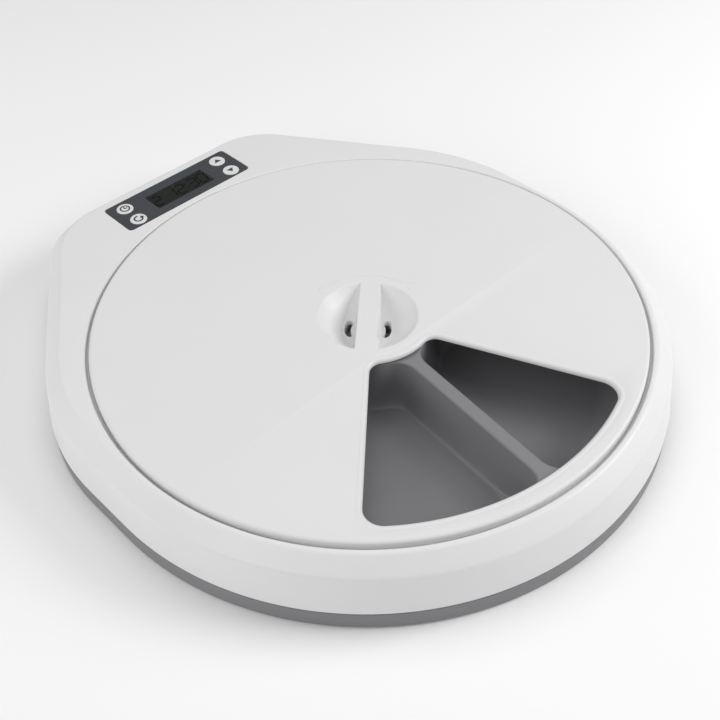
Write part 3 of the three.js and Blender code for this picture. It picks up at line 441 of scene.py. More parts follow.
def moulded(name, colour, shade, roughness, fineness=2600, bump=0.05, dust=0.1, rub=0.15,
            coat=0.0, metal=0.0, shine=0.5):
    """A moulded or milled finish: grain bump, slow drift between two shades, dust and rubbed gloss."""
    material = bpy.data.materials.new(name)
    material.use_nodes = True
    tree = material.node_tree
    surface = tree.nodes["Principled BSDF"]
    grain = wire(tree, "ShaderNodeGroup", node_tree=GRAIN)
    grain.inputs["Fineness"].default_value = fineness
    handling = wire(tree, "ShaderNodeGroup", node_tree=WEAR)
    handling.inputs["Dust"].default_value = dust
    handling.inputs["Rubbing"].default_value = rub
    drift = wire(tree, "ShaderNodeMix", data_type="RGBA")
    drift.inputs["A"].default_value = (*colour, 1)
    drift.inputs["B"].default_value = (*shade, 1)
    cloud = mapped(tree, grain, "Tint", 0.35, 0.65, 0.0, 1.0)
    tree.links.new(cloud.outputs[0], drift.inputs["Factor"])
    powdered = wire(tree, "ShaderNodeMix", data_type="RGBA")
    powdered.inputs["B"].default_value = DUST_COLOUR
    tree.links.new(drift.outputs["Result"], powdered.inputs["A"])
    tree.links.new(handling.outputs["Dust mask"], powdered.inputs["Factor"])
    tree.links.new(powdered.outputs["Result"], surface.inputs["Base Color"])
    sheen = mapped(tree, grain, "Gloss", 0.3, 0.7, roughness - 0.04, roughness + 0.05)
    rubbed = maths(tree, "MULTIPLY", (handling, "Rub mask"), 0.25)
    total = maths(tree, "ADD", (sheen, 0), (rubbed, 0))
    tree.links.new(total.outputs[0], surface.inputs["Roughness"])
    relief = wire(tree, "ShaderNodeBump", [("Height", grain, "Height")])
    relief.inputs["Strength"].default_value = bump
    relief.inputs["Distance"].default_value = 0.0002
    tree.links.new(relief.outputs["Normal"], surface.inputs["Normal"])
    surface.inputs["Metallic"].default_value = metal
    surface.inputs["Coat Weight"].default_value = coat
    surface.inputs["Coat Roughness"].default_value = 0.08
    surface.inputs["Specular IOR Level"].default_value = shine
    return material


WHITE = moulded(
    "white_plastic", (0.80, 0.80, 0.80), (0.79, 0.79, 0.792), 0.42, bump=0.06, dust=0.01, rub=0.03)
LID_WHITE = moulded(
    "lid_white_plastic", (0.79, 0.79, 0.79), (0.78, 0.78, 0.782), 0.46, 2100, 0.08, 0.01, 0.03)
BASE_GRAY = moulded(
    "gray_base_plastic", (0.215, 0.213, 0.223), (0.207, 0.205, 0.215),
    0.45, bump=0.08, dust=0.02, rub=0.05)
TRAY_GRAY = moulded(
    "gray_tray_plastic", (0.235, 0.232, 0.245), (0.225, 0.222, 0.235), 0.33, 3000, 0.04, 0.01, 0.05)
SLATE = moulded(
    "slate_film", (0.050, 0.055, 0.064), (0.047, 0.052, 0.061),
    0.5, 5200, 0.06, 0.01, 0.03, shine=0.4)
PANE = moulded(
    "display_pane", (0.0125, 0.0145, 0.0120), (0.0120, 0.0138, 0.0115),
    0.3, 900, 0.01, 0.01, 0.03, shine=0.22)
SEGMENTS = moulded(
    "display_segments", (0.0010, 0.0012, 0.0010), (0.0009, 0.0011, 0.0009),
    0.4, 900, 0.01, 0.0, 0.0, shine=0.12)
CAP_WHITE = moulded(
    "button_white", (0.76, 0.76, 0.76), (0.75, 0.75, 0.755), 0.35, 3000, 0.03, 0.01, 0.05)
INK = moulded("button_ink", (0.045, 0.048, 0.055), (0.035, 0.037, 0.042), 0.5, 6000, 0.05, 0.0, 0.3)
RUBBER = moulded(
    "foot_rubber", (0.035, 0.035, 0.037), (0.026, 0.026, 0.028), 0.82, 1500, 0.4, 0.5, 0.4)
BLACK = moulded(
    "black_plastic", (0.022, 0.022, 0.025), (0.017, 0.017, 0.02), 0.48, 2200, 0.15, 0.3, 0.2)
BOARD = moulded(
    "circuit_board", (0.03, 0.13, 0.055), (0.022, 0.10, 0.045), 0.4, 4000, 0.1, 0.2, 0.1, coat=0.3)
STEEL = moulded(
    "plated_steel", (0.52, 0.53, 0.55), (0.44, 0.45, 0.47), 0.28, 1800, 0.05, 0.1, 0.5, metal=1.0)
ACETAL = moulded(
    "natural_acetal", (0.82, 0.80, 0.74), (0.77, 0.75, 0.69), 0.34, 2400, 0.05, 0.05, 0.1)
SLEEVE = moulded(
    "cell_sleeve", (0.045, 0.08, 0.16), (0.035, 0.065, 0.13), 0.3, 3000, 0.03, 0.05, 0.3, coat=0.4)


# ---------------------------------------------------------------- housing
LABEL_MIDDLE = (0.0, (LABEL_LOW[1] + LABEL_HIGH[1]) / 2 - AXIS_Y)
LABEL_SIZE = (LABEL_HIGH[0] - LABEL_LOW[0], LABEL_HIGH[1] - LABEL_LOW[1])
LABEL_THICKNESS = LABEL_HIGH[2] - LABEL_LOW[2]
WINDOW_SIZE = tuple(
    WINDOW_HIGH[axis] - WINDOW_LOW[axis] + 2 * GAP for axis in (0, 1))
BUTTON_FLANGE_REACH = 1.2 * MM
SET_LOW, SET_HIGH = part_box("button_set")
BUTTON_RADIUS = (SET_HIGH[0] - SET_LOW[0]) / 2 - BUTTON_FLANGE_REACH
WINDOW_MIDDLE = (
    (WINDOW_LOW[0] + WINDOW_HIGH[0]) / 2, (WINDOW_LOW[1] + WINDOW_HIGH[1]) / 2 - AXIS_Y)
SUPPORT = 0.15 * MM            # narrow flat strip beside a rounding, which keeps wide faces flat
PAN_UNDER = 3.3 * MM
PAN_INSIDE = 5.3 * MM
SKIRT_FOOT = PAN_LOW[2]


def about_axis(point):
    """A plan point of the frame, taken from the tray axis."""
    return np.array([point[0], point[1] - AXIS_Y])


def stacked(size, corner, middle, edge):
    """Rounded rectangles one over another, each an inset of the first at its own height; the corner
    is a function of the inset."""
    rings = []
    for inward, height in edge:
        outline = rounded_rectangle(size[0] - 2 * inward, size[1] - 2 * inward, corner(inward))
        rings.append(lift(shifted(outline, middle), height))
    return rings


def circle(middle, radius, count=48):
    """A closed circle about a plan point."""
    return arc(middle, radius, 0, 2 * math.pi, count + 1)[:-1]


def shifted(outline, middle):
    """An outline moved to a middle."""
    return outline + np.asarray(middle)


def tube(skin, middle, inner, outer, low, high, count=32):
    """A closed pipe: four circles joined one to the next, the last to the first."""
    skin.rings([lift(circle(middle, radius, count), height) for radius, height in (
        (outer, low), (outer, high), (inner, high), (inner, low))], closed=True)


def panel_holes():
    """Outlines of the window and the four button holes."""
    window = shifted(rounded_rectangle(*WINDOW_SIZE, WINDOW_CORNER), WINDOW_MIDDLE)
    middles = [about_axis(middle_of("button_" + name)) for name in BUTTONS]
    buttons = [circle(middle, BUTTON_RADIUS + GAP) for middle in middles]
    return [window, *buttons]


def label_recess(out):
    """The outline of the label's recess, grown by a distance."""
    width, depth = (size + 2 * GAP + 2 * out for size in LABEL_SIZE)
    outline = rounded_rectangle(width, depth, LABEL_CORNER + GAP + out)
    return shifted(outline, LABEL_MIDDLE)


def housing_shell():
    """The white housing: its wall is a profile of offset and height carried round the plan, its top
    is a flat face pierced by the round rim and the label's recess, and its well is turned."""
    skin = Skin()
    crease = HOUSING_TOP - BEVEL_DROP
    inset = SHELL_WALL * math.tan(math.atan2(BEVEL_DROP, BEVEL_WIDTH) / 2)
    outside = rounded_path(
        [(DRAFT - SHELL_WALL, SEAM + GAP), (DRAFT, SEAM + GAP), (0, crease), (-BEVEL_WIDTH, HOUSING_TOP),
         (-BEVEL_WIDTH - 1.4 * MM, HOUSING_TOP)],
        [0.5 * MM, 3.5 * MM, 3 * MM], 7)
    wall = [lift(housing_plan(offset), height) for offset, height in outside]
    skin.rings(wall)
    rim = rounded_path(
        [(RIM_RADIUS + 0.95 * MM, HOUSING_TOP), (RIM_RADIUS, HOUSING_TOP), (RIM_RADIUS, LEDGE_HEIGHT),
         (LEDGE_RADIUS, LEDGE_HEIGHT), (LEDGE_RADIUS, WELL_FLOOR), (POST_HOLE, WELL_FLOOR),
         (POST_HOLE, WELL_UNDER), (LEDGE_RADIUS + SHELL_WALL, WELL_UNDER),
         (LEDGE_RADIUS + SHELL_WALL, LEDGE_HEIGHT - SHELL_WALL),
         (RIM_RADIUS + 1.2 * MM, LEDGE_HEIGHT - SHELL_WALL),
         (RIM_RADIUS + 1.2 * MM, HOUSING_TOP - SHELL_WALL)],
        [0.8 * MM, 0.4 * MM, 0.5 * MM, 3 * MM, *[0.3 * MM] * 4, 0.2 * MM], 5)
    well = [lift(round_plan(radius), height) for radius, height in rim]
    skin.rings(well)
    lip = [label_recess(out) for out in (0.5 * MM, 0.35 * MM)]
    recess = HOUSING_TOP - LABEL_THICKNESS
    edge = label_recess(0)
    skin.rings([lift(lip[0], HOUSING_TOP), lift(lip[1], HOUSING_TOP),
                lift(edge, HOUSING_TOP - 0.3 * MM), lift(edge, recess)])
    skin.flat([wall[-1], well[0], lip[0]], HOUSING_TOP)
    holes = panel_holes()
    skin.flat([edge, *holes], recess)
    ceiling = HOUSING_TOP - SHELL_WALL
    for hole in holes:
        skin.rings([lift(hole, recess), lift(hole, ceiling)])
    inner = [lift(housing_plan(offset), height) for offset, height in (
        (-BEVEL_WIDTH - inset, ceiling), (-SHELL_WALL, crease - inset), (DRAFT - SHELL_WALL, SEAM + GAP))]
    skin.rings(inner)
    skin.flat([inner[0], well[-1], *holes], ceiling)
    for screw in CASE_SCREWS:
        middle = about_axis(middle_of(screw))
        tube(skin, middle, SCREW_HOLE, BOSS_RADIUS, PAN_INSIDE + GAP, crease - 2 * MM)
    return place("housing_shell", skin, "housing", WHITE, ("body_shell",))


def bay_outline(side):
    """The battery opening of one side, a wall's width inside its box."""
    low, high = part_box("battery_box_" + side)
    middle = about_axis(((low[0] + high[0]) / 2, (low[1] + high[1]) / 2))
    walls = 2.4 * MM
    opening = rounded_rectangle(high[0] - low[0] - walls, high[1] - low[1] - walls, 0.5 * MM)
    return shifted(opening, middle)


def base_skirt():
    """The gray base: a skirt carried round the plan, a flat floor pierced by the battery bays and the
    screw holes, raised rings under the floor, and the rails of the battery doors."""
    skin = Skin()
    lip = DRAFT - SHELL_WALL - LIP_CLEAR
    profile = rounded_path(
        [(lip, SEAM), (DRAFT, SEAM), (DRAFT, SKIRT_FOOT),
         (DRAFT - SHELL_WALL, SKIRT_FOOT), (DRAFT - SHELL_WALL, PAN_UNDER),
         (DRAFT - SHELL_WALL - 2 * MM, PAN_UNDER)],
        [0.45 * MM, 0.9 * MM, 0.6 * MM, 0.5 * MM], 5)
    skirt = [lift(housing_plan(offset), height) for offset, height in profile]
    skin.rings(skirt)
    inside = [lift(housing_plan(offset), height) for offset, height in (
        (lip, SEAM), (lip, LIP_TOP), (lip - LIP_WALL, LIP_TOP), (lip - LIP_WALL, PAN_INSIDE))]
    skin.rings(inside)
    bays = [bay_outline("left"), bay_outline("right")]
    middles = [about_axis(middle_of(screw)) for screw in CASE_SCREWS]
    screws = [circle(middle, SCREW_HOLE, 24) for middle in middles]
    sinks = [circle(middle, SCREW_SINK, 24) for middle in middles]
    skin.flat([skirt[-1], *bays, *sinks], PAN_UNDER)
    skin.flat([inside[-1], *bays, *screws], PAN_INSIDE)
    for bay in bays:
        skin.rings([lift(bay, PAN_UNDER), lift(bay, PAN_INSIDE)])
    for sink, screw in zip(sinks, screws):
        skin.rings([lift(sink, PAN_UNDER), lift(screw, PAN_UNDER + 0.6 * MM), lift(screw, PAN_INSIDE)])
    for radius in RIB_RADII:
        rib = rounded_path([(radius - 1.2 * MM, 3.6 * MM), (radius - 1 * MM, 2.5 * MM),
                            (radius + 1 * MM, 2.5 * MM), (radius + 1.2 * MM, 3.6 * MM)], [0.4 * MM] * 2, 4)
        skin.rings(turned(rib, 160))
        skin.rings(turned([rib[-1], rib[0]], 160))
    for side in ("left", "right"):
        low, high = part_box("battery_door_" + side)
        for edge, out in ((low[0], -1), (high[0], 1)):
            section = [(edge + out * 0.3 * MM, 3.8 * MM), (edge + out * RAIL_WIDTH, 3.8 * MM),
                       (edge + out * RAIL_WIDTH, 0.5 * MM), (edge - out * 1.5 * MM, 0.5 * MM),
                       (edge - out * 1.5 * MM, 1.3 * MM), (edge + out * 0.3 * MM, 1.3 * MM)]
            ends = [high[1] - AXIS_Y, low[1] - AXIS_Y - DOOR_TRAVEL]
            skin.beam(section, ends)
    return place("base_skirt", skin, "housing", BASE_GRAY, ("base_pan",))


# ---------------------------------------------------------------- lid
BALL = (DISH_RADIUS ** 2 + DISH_DEPTH ** 2) / (2 * DISH_DEPTH)
DISH_PATCH = DISH_RADIUS + 2.2 * MM
LIP_ROUND = 2.1 * MM
LOCK_TURNS = (GRIP_TURN + math.pi / 2, GRIP_TURN - math.pi / 2)


def soft_max(first, second, blend):
    """The larger of two heights, with the change from one to the other rounded over a blend."""
    share = np.clip(0.5 + (first - second) / (2 * blend), 0, 1)
    return second + (first - second) * share + blend * share * (1 - share)


def dish_height(x, y):
    """Height of the lid's middle: a ball's inside up to the lid's flat top with a rounded rim, and
    the straight grip bar with rounded top edges that crosses it."""
    across = -x * math.sin(GRIP_TURN) + y * math.cos(GRIP_TURN)
    away = np.hypot(x, y)
    bowl = LID_TOP - DISH_DEPTH + BALL - np.sqrt(np.maximum(BALL ** 2 - away ** 2, 0))
    bowl = -soft_max(-bowl, np.full_like(bowl, -LID_TOP), 0.55 * MM)
    slope = (GRIP_WIDTH / 2 - np.abs(across)) * 9
    flank = -soft_max(-(LID_TOP + slope), np.full_like(slope, -LID_TOP), 1.3 * MM)
    return np.minimum(soft_max(bowl, flank, 1.1 * MM), LID_TOP)


def slot_loop(turn, out):
    """A crescent beside the bar, grown by a distance: two arcs about the axis with rounded ends."""
    inner, outer = SLOT_INNER, SLOT_OUTER
    middle, half = (inner + outer) / 2, (outer - inner) / 2
    lean = SLOT_SPREAD - half / middle
    far = arc((0, 0), outer + out, turn - lean, turn + lean, 22)
    near = arc((0, 0), inner - out, turn + lean, turn - lean, 22)
    end = (middle * math.cos(turn + lean), middle * math.sin(turn + lean))
    start = (middle * math.cos(turn - lean), middle * math.sin(turn - lean))
    cap_end = arc(end, half + out, turn + lean, turn + lean + math.pi, 12)[1:-1]
    cap_start = arc(start, half + out, turn - lean + math.pi, turn - lean + 2 * math.pi, 12)[1:-1]
    return np.concatenate([far, cap_end, near, cap_start])


def dish_patch(skin):
    """The dish and bar as one surface of plan position, meshed round the crescents' raised lips."""
    across = np.concatenate([
        np.linspace(-DISH_PATCH, -7.2 * MM, 44)[:-1], np.linspace(-7.2 * MM, 7.2 * MM, 66),
        np.linspace(7.2 * MM, DISH_PATCH, 44)[1:]])
    along = np.linspace(-DISH_PATCH, DISH_PATCH, 118)
    u, v = (grid.ravel() for grid in np.meshgrid(across, along))
    inside = np.hypot(u, v) < DISH_PATCH - 0.35 * MM
    x = v * math.cos(GRIP_TURN) - u * math.sin(GRIP_TURN)
    y = v * math.sin(GRIP_TURN) + u * math.cos(GRIP_TURN)
    grid = np.stack([x, y], axis=1)[inside]
    steps = np.array([0.0, 0.18, 0.38, 0.62, 0.9]) * MM
    raise_by = np.array([-0.22, 0.16, 0.24, 0.14, 0.0]) * MM
    slot_middle = (SLOT_INNER + SLOT_OUTER) / 2
    slot_half = (SLOT_OUTER - SLOT_INNER) / 2
    lean = SLOT_SPREAD - slot_half / slot_middle
    for turn in LOCK_TURNS:
        bearing = np.arctan2(grid[:, 1], grid[:, 0]) - turn
        bearing = (bearing + math.pi) % (2 * math.pi) - math.pi
        size = np.hypot(*grid.T)
        reach = np.hypot(np.maximum(np.abs(bearing) - lean, 0) * slot_middle, size - slot_middle)
        grid = grid[(reach > slot_half + 1.1 * MM) | (np.abs(bearing) > 1.2)]
    loops = [slot_loop(turn, out) for turn in LOCK_TURNS for out in steps]
    lift_by = np.concatenate([[rise] * len(slot_loop(0, 0)) for _ in LOCK_TURNS for rise in raise_by])
    border = circle((0, 0), DISH_PATCH, 240)
    points = np.concatenate([border, *loops, grid])
    rise = np.concatenate([np.zeros(len(border)), lift_by, np.zeros(len(grid))])
    rows = [np.arange(len(border))]
    for loop in loops:
        rows.append(np.arange(len(loop)) + rows[-1][-1] + 1)
    edges = [pair for row in rows for pair in zip(row.tolist(), np.roll(row, -1).tolist())]
    solved, _, faces, origin, _, _ = delaunay_2d_cdt(
        [Vector(p) for p in points.tolist()], edges, [], 0, 1e-7)
    plan = np.array([tuple(p) for p in solved])
    lifted = np.array([rise[source[0]] if source else 0.0 for source in origin])
    height = dish_height(plan[:, 0], plan[:, 1]) + lifted
    faces = np.array([face for face in faces if len(face) == 3])
    middle = plan[faces].mean(axis=1)
    for turn in LOCK_TURNS:
        hole = slot_loop(turn, 0)
        faces, middle = (rows[~within(middle, hole)] for rows in (faces, middle))
    faces = faces[np.hypot(*middle.T) < DISH_PATCH]
    skin.add(np.column_stack([plan, height]), faces)
    for turn in LOCK_TURNS:
        hole = slot_loop(turn, 0)
        top = np.column_stack([hole, dish_height(*hole.T) + raise_by[0]])
        skin.rings([top, lift(hole, LOCK_UNDER)])
    return border


def within(points, outline):
    """True for each point inside a closed outline: a line to one side crosses it an odd number of times."""
    x, y = points[:, 0, None], points[:, 1, None]
    x1, y1 = outline.T
    x2, y2 = np.roll(outline, -1, axis=0).T
    crosses = (y1 > y) != (y2 > y)
    at = (x2 - x1) * (y - y1) / np.where(y2 == y1, 1e-12, y2 - y1) + x1
    return (crosses & (x < at)).sum(axis=1) % 2 == 1


def opening_loop(out):
    """The lid's opening, grown by a distance."""
    return wedge(
        OPENING_MIDDLE, OPENING_HALF, OPENING_SIDE - out, OPENING_INNER - out, OPENING_OUTER + out,
        OPENING_INNER_ROUND + out, OPENING_OUTER_ROUND + out, 12)


def lid_cover():
    """The round lid: a flat plate between its turned edge, the opening's rounded lip and the dish,
    with a skirt, and a ball-shaped underside that carries the locking collar."""
    skin = Skin()
    under = LID_TOP - LID_WALL
    skirt_foot = LID_LOW_EDGE
    edge = rounded_path(
        [(LID_RADIUS - 2.4 * MM, LID_TOP), (LID_RADIUS, LID_TOP), (LID_RADIUS, skirt_foot),
         (LID_RADIUS - 1.8 * MM, skirt_foot), (LID_RADIUS - 1.8 * MM, under),
         (LID_RADIUS - 2.6 * MM, under)],
        [1.7 * MM, 0.4 * MM, 0.4 * MM, 0.3 * MM], 8)
    border = turned(edge, 288)
    skin.rings(border)
    quarter = np.linspace(0, math.pi / 2, 9)
    lip = [lift(opening_loop(LIP_ROUND + out), LID_TOP - down) for out, down in (
        (1.2 * MM, 0), (1.0 * MM, 0.1 * MM), (0.8 * MM, 0.1 * MM), (0.6 * MM, 0), (SUPPORT, 0))]
    lip += [lift(opening_loop(LIP_ROUND * (1 - math.sin(a))), LID_TOP - LIP_ROUND * (1 - math.cos(a)))
            for a in quarter]
    lip += [lift(opening_loop(0), under), lift(opening_loop(0.4 * MM), under)]
    skin.rings(lip)
    dish = dish_patch(skin)
    skin.flat([border[0], lip[0], dish], LID_TOP)
    outer_ball = BALL + LID_WALL
    centre = LID_TOP - DISH_DEPTH + BALL
    start = math.asin((under - centre) / outer_ball)
    bowl = [(outer_ball * math.cos(a), centre + outer_ball * math.sin(a))
            for a in np.linspace(start, -math.acos(COLLAR_OUTER / outer_ball), 14)]
    tail = [(COLLAR_OUTER, COLLAR_FOOT), (COLLAR_INNER, COLLAR_FOOT), (COLLAR_INNER, LOCK_UNDER)]
    below = turned([*bowl, *tail], 240)
    skin.rings(below)
    skin.flat([border[-1], lip[-1], below[0]], under)
    skin.flat([below[-1], *[slot_loop(turn, 0) for turn in LOCK_TURNS]], LOCK_UNDER)
    for turn in LOCK_TURNS:
        tab = np.concatenate([
            arc((0, 0), TAB_OUTER, turn - TAB_SPREAD, turn + TAB_SPREAD, 14),
            arc((0, 0), TAB_INNER, turn + TAB_SPREAD, turn - TAB_SPREAD, 14)])
        slab(skin, [tab], COLLAR_FOOT, TAB_TOP)
    return place("lid_cover", skin, "lid", LID_WHITE, ("lid",))


def lid_marks():
    """Faint raised signs beside the dish: a shut padlock, an open one, and a double arrow between."""
    skin = Skin()
    ring = DISH_RADIUS + 5.4 * MM
    north = math.radians(47)
    half = math.radians(48)
    low, high = LID_TOP - 0.05 * MM, LID_TOP + 0.12 * MM
    for turn, swing in ((north + half, 0.0), (north - half, 0.9)):
        facing = turn - math.pi / 2
        middle = np.array([ring * math.cos(turn), ring * math.sin(turn)])
        spin = np.array([[math.cos(facing), math.sin(facing)], [-math.sin(facing), math.cos(facing)]])
        body = rounded_rectangle(4.4 * MM, 3.2 * MM, 0.5 * MM)
        hoop = np.concatenate([
            arc((0, 0), 1.75 * MM, 0, math.pi, 14), arc((0, 0), 1.1 * MM, math.pi, 0, 14)])
        lean = np.array([[math.cos(swing), math.sin(swing)], [-math.sin(swing), math.cos(swing)]])
        hoop = (hoop + (1.4 * MM, 0)) @ lean - (1.4 * MM, 0) + (0, 1.5 * MM)
        for outline in (body, hoop):
            slab(skin, [outline @ spin + middle], low, high)
    sweep = half - math.radians(13)
    width = 0.35 * MM
    band = np.concatenate([arc((0, 0), ring + width, north - sweep, north + sweep, 40),
                           arc((0, 0), ring - width, north + sweep, north - sweep, 40)])
    slab(skin, [band], low, high)
    for end, way in ((north + sweep, 1), (north - sweep, -1)):
        tip = end + way * math.radians(4.5)
        head = [(ring * math.cos(tip), ring * math.sin(tip)),
                ((ring + 1.2 * MM) * math.cos(end), (ring + 1.2 * MM) * math.sin(end)),
                ((ring - 1.2 * MM) * math.cos(end), (ring - 1.2 * MM) * math.sin(end))]
        slab(skin, [np.array(head)], low, high)
    return place("lid_marks", skin, "lid", LID_WHITE)


# ---------------------------------------------------------------- tray
def pocket_loop(middle, side, inward, outward):
    """One compartment's outline: its sides, its inner end and its outer end moved in by their own
    amounts, with the same corner roundings."""
    grown = max(-side, 0)
    return wedge(middle, math.pi / TRAY_COUNT, DIVIDER_WIDTH / 2 + side, POCKET_INNER + inward,
                 POCKET_OUTER - outward, POCKET_ROUND + grown, POCKET_ROUND + grown, 10)


def meal_tray():
    """The gray tray: a flat top pierced by five compartments, each a stack of outlines that rounds
    over the edge, tapers down and curves into a flat floor, with a turned rim, hub and underside."""
    skin = Skin()
    floor = TRAY_UNDER + TRAY_FLOOR
    depth = TRAY_TOP - floor
    soft, floor_round, outer_round, taper = 1.4 * MM, 4 * MM, 12 * MM, 2.5 * MM
    rim = rounded_path(
        [(TRAY_RADIUS - 1.2 * MM, TRAY_TOP), (TRAY_RADIUS, TRAY_TOP),
         (TRAY_RADIUS, TRAY_TOP - TRAY_LIP), (POCKET_OUTER + TRAY_FLOOR, TRAY_TOP - TRAY_LIP),
         (POCKET_OUTER + TRAY_FLOOR - 1.5 * MM, 24 * MM), (POCKET_OUTER - taper - 2 * MM, TRAY_UNDER),
         (HUB_BORE, TRAY_UNDER), (HUB_BORE, HUB_SLEEVE_TOP), (HUB_BORE + HUB_WALL, HUB_SLEEVE_TOP),
         (HUB_BORE + HUB_WALL, floor), (HUB_SIDE, floor), (HUB_SIDE, TRAY_TOP),
         (HUB_SIDE + 1.6 * MM, TRAY_TOP)],
        [0.9 * MM, 0.5 * MM, 0.2 * MM, 4 * MM, 7 * MM, 0.3 * MM, 0.3 * MM, 0.3 * MM, 0.5 * MM, 0.8 * MM,
         1.2 * MM], 7)
    turned_rings = turned(rim, 240)
    skin.rings(turned_rings)
    mouths = []
    for index in range(TRAY_COUNT):
        middle = TRAY_TURN + (index + 0.5) * 2 * math.pi / TRAY_COUNT
        rings = [lift(pocket_loop(middle, -soft - SUPPORT, -soft - SUPPORT, -soft - SUPPORT), TRAY_TOP)]
        for a in np.linspace(0, math.pi / 2, 7):
            out = -soft * (1 - math.sin(a))
            rings.append(lift(pocket_loop(middle, out, out, out), TRAY_TOP - soft * (1 - math.cos(a))))
        for a in np.linspace(0, math.pi / 2, 15):
            down = depth - outer_round * (1 - math.sin(a))
            inward = taper * down / depth
            side = inward + floor_round * (1 - math.cos(a))
            outer = inward + outer_round * (1 - math.cos(a))
            rings.append(lift(pocket_loop(middle, side, side, outer), TRAY_TOP - down))
        last = pocket_loop(middle, side + SUPPORT, side + SUPPORT, outer + SUPPORT)
        rings.append(lift(last, floor))
        skin.rings(rings)
        skin.flat([last], floor)
        mouths.append(rings[0])
    skin.flat([turned_rings[0], turned_rings[-1], *mouths], TRAY_TOP)
    return place("meal_tray", skin, "tray", TRAY_GRAY, ("food_tray",))


# ---------------------------------------------------------------- control panel
def control_label():
    """The slate label: a thin plate with a rounded edge, cut out for the window and the buttons."""
    skin = Skin()
    low, high = LABEL_LOW[2], LABEL_HIGH[2]
    soft = 0.25 * MM
    edge = [(0, low), (0, high - soft)] + [
        (soft * (1 - math.cos(a)), high - soft * (1 - math.sin(a))) for a in np.linspace(0, math.pi / 2, 4)]
    edge.append((soft + SUPPORT, high))
    rings = stacked(LABEL_SIZE, lambda inward: LABEL_CORNER - inward, LABEL_MIDDLE, edge)
    skin.rings(rings)
    holes = panel_holes()
    for hole in holes:
        skin.rings([lift(hole, low), lift(hole, high)])
    skin.flat([rings[0], *holes], low)
    skin.flat([rings[-1], *holes], high)
    return place("label_plate", skin, "housing", SLATE, ("control_label",))


def slab(skin, loops, low, high):
    """A closed straight-sided plate: the first loop is its outline, the others pierce it."""
    for loop in loops:
        skin.rings([lift(loop, low), lift(loop, high)])
    skin.flat(loops, low)
    skin.flat(loops, high)


def display_pane():
    """The display's cover: a plate with a narrow bevelled edge."""
    skin = Skin()
    low, high = WINDOW_LOW[2], WINDOW_HIGH[2]
    size = np.array(WINDOW_SIZE) - 2 * GAP
    edge = ((0, low), (0, high - 0.2 * MM), (0.2 * MM, high), (0.5 * MM, high))
    rings = stacked(size, lambda inward: 0.6 * MM, WINDOW_MIDDLE, edge)
    skin.rings(rings)
    skin.flat([rings[0]], low)
    skin.flat([rings[-1]], high)
    return place("display_pane", skin, "housing", PANE, ("display_window",))


# Segments of a numeral: top, upper right, lower right, bottom, lower left, upper left, middle.
NUMERALS = {"0": (0, 1, 2, 3, 4, 5), "1": (1, 2), "2": (0, 1, 6, 4, 3), "3": (0, 1, 6, 2, 3)}
SEGMENT_RISE = 0.06 * MM


def display_numerals():
    """A meal number and a time in leaning seven-bar numerals, each bar a six-sided flat."""
    skin = Skin()
    tall, wide, thick, lean = 9.2 * MM, 5.0 * MM, 0.95 * MM, 0.12
    base = WINDOW_HIGH[2] - 0.02 * MM
    half_w, half_h = wide / 2, tall / 4
    places = [(0, 2 * half_h, 0), (half_w, half_h, 1), (half_w, -half_h, 1), (0, -2 * half_h, 0),
              (-half_w, -half_h, 1), (-half_w, half_h, 1), (0, 0, 0)]
    for numeral, at in (("2", -16.5), ("1", -6.4), ("2", 0.6), ("3", 9.6), ("0", 16.6)):
        for part in NUMERALS[numeral]:
            x, y, upright = places[part]
            length = (half_h if upright else half_w) - 0.25 * MM
            flat, side = length - thick / 2, thick / 2
            bar = np.array([
                (length, 0), (flat, side), (-flat, side), (-length, 0), (-flat, -side), (flat, -side)])
            if upright:
                bar = bar[:, ::-1] * (-1, 1)
            bar = bar + (x, y)
            bar[:, 0] += at * MM + bar[:, 1] * lean
            slab(skin, [shifted(bar, WINDOW_MIDDLE)], base, base + SEGMENT_RISE)
    for y in (-1.8 * MM, 1.8 * MM):
        dot = shifted(circle((5.1 * MM, y), 0.55 * MM, 16), WINDOW_MIDDLE)
        slab(skin, [dot], base, base + SEGMENT_RISE)
    return place("display_numerals", skin, "housing", SEGMENTS)


def button_cap(name):
    """A button: a turned cap with a rounded edge and a flat top, on its flange."""
    low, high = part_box("button_" + name)
    radius = BUTTON_RADIUS
    flange = low[2] + 1.1 * MM
    profile = rounded_path(
        [(0.02 * MM, low[2]), (radius + BUTTON_FLANGE_REACH, low[2]),
         (radius + BUTTON_FLANGE_REACH, flange), (radius, flange),
         (radius, high[2]), (0.02 * MM, high[2])],
        [0.2 * MM, 0.2 * MM, 0.1 * MM, 0.45 * MM], 6)
    skin = Skin()
    body = "button_" + name
    skin.closed_turn(profile, 72, about_axis(middle_of(body)))
    return place("cap_" + name, skin, body, CAP_WHITE, (body,))


def arrow_sign(way):
    """A triangle that points up or down."""
    return [np.array([(0, 1.9), (-2.4, -1.4), (2.4, -1.4)]) * way * MM]


def clock_sign():
    """A clock's ring and its two hands."""
    ring = (circle((0, 0), 3.1 * MM), circle((0, 0), 2.2 * MM))
    hands = np.array(
        [(-0.4, -0.4), (1.6, -0.4), (1.6, 0.4), (0.4, 0.4), (0.4, 1.9), (-0.4, 1.9)])
    return [ring, hands * MM]


def repeat_sign():
    """An open ring that ends in an arrow head."""
    start, end = math.radians(70), math.radians(350)
    loop = np.concatenate([
        arc((0, 0), 2.9 * MM, start, end, 40), arc((0, 0), 1.9 * MM, end, start, 40)])
    tip = np.array([(3.9, -0.6), (0.9, -0.6), (2.4, 1.6)]) * MM
    return [loop, tip]


SIGNS = {"set": clock_sign(), "repeat": repeat_sign(), "up": arrow_sign(1), "down": arrow_sign(-1)}


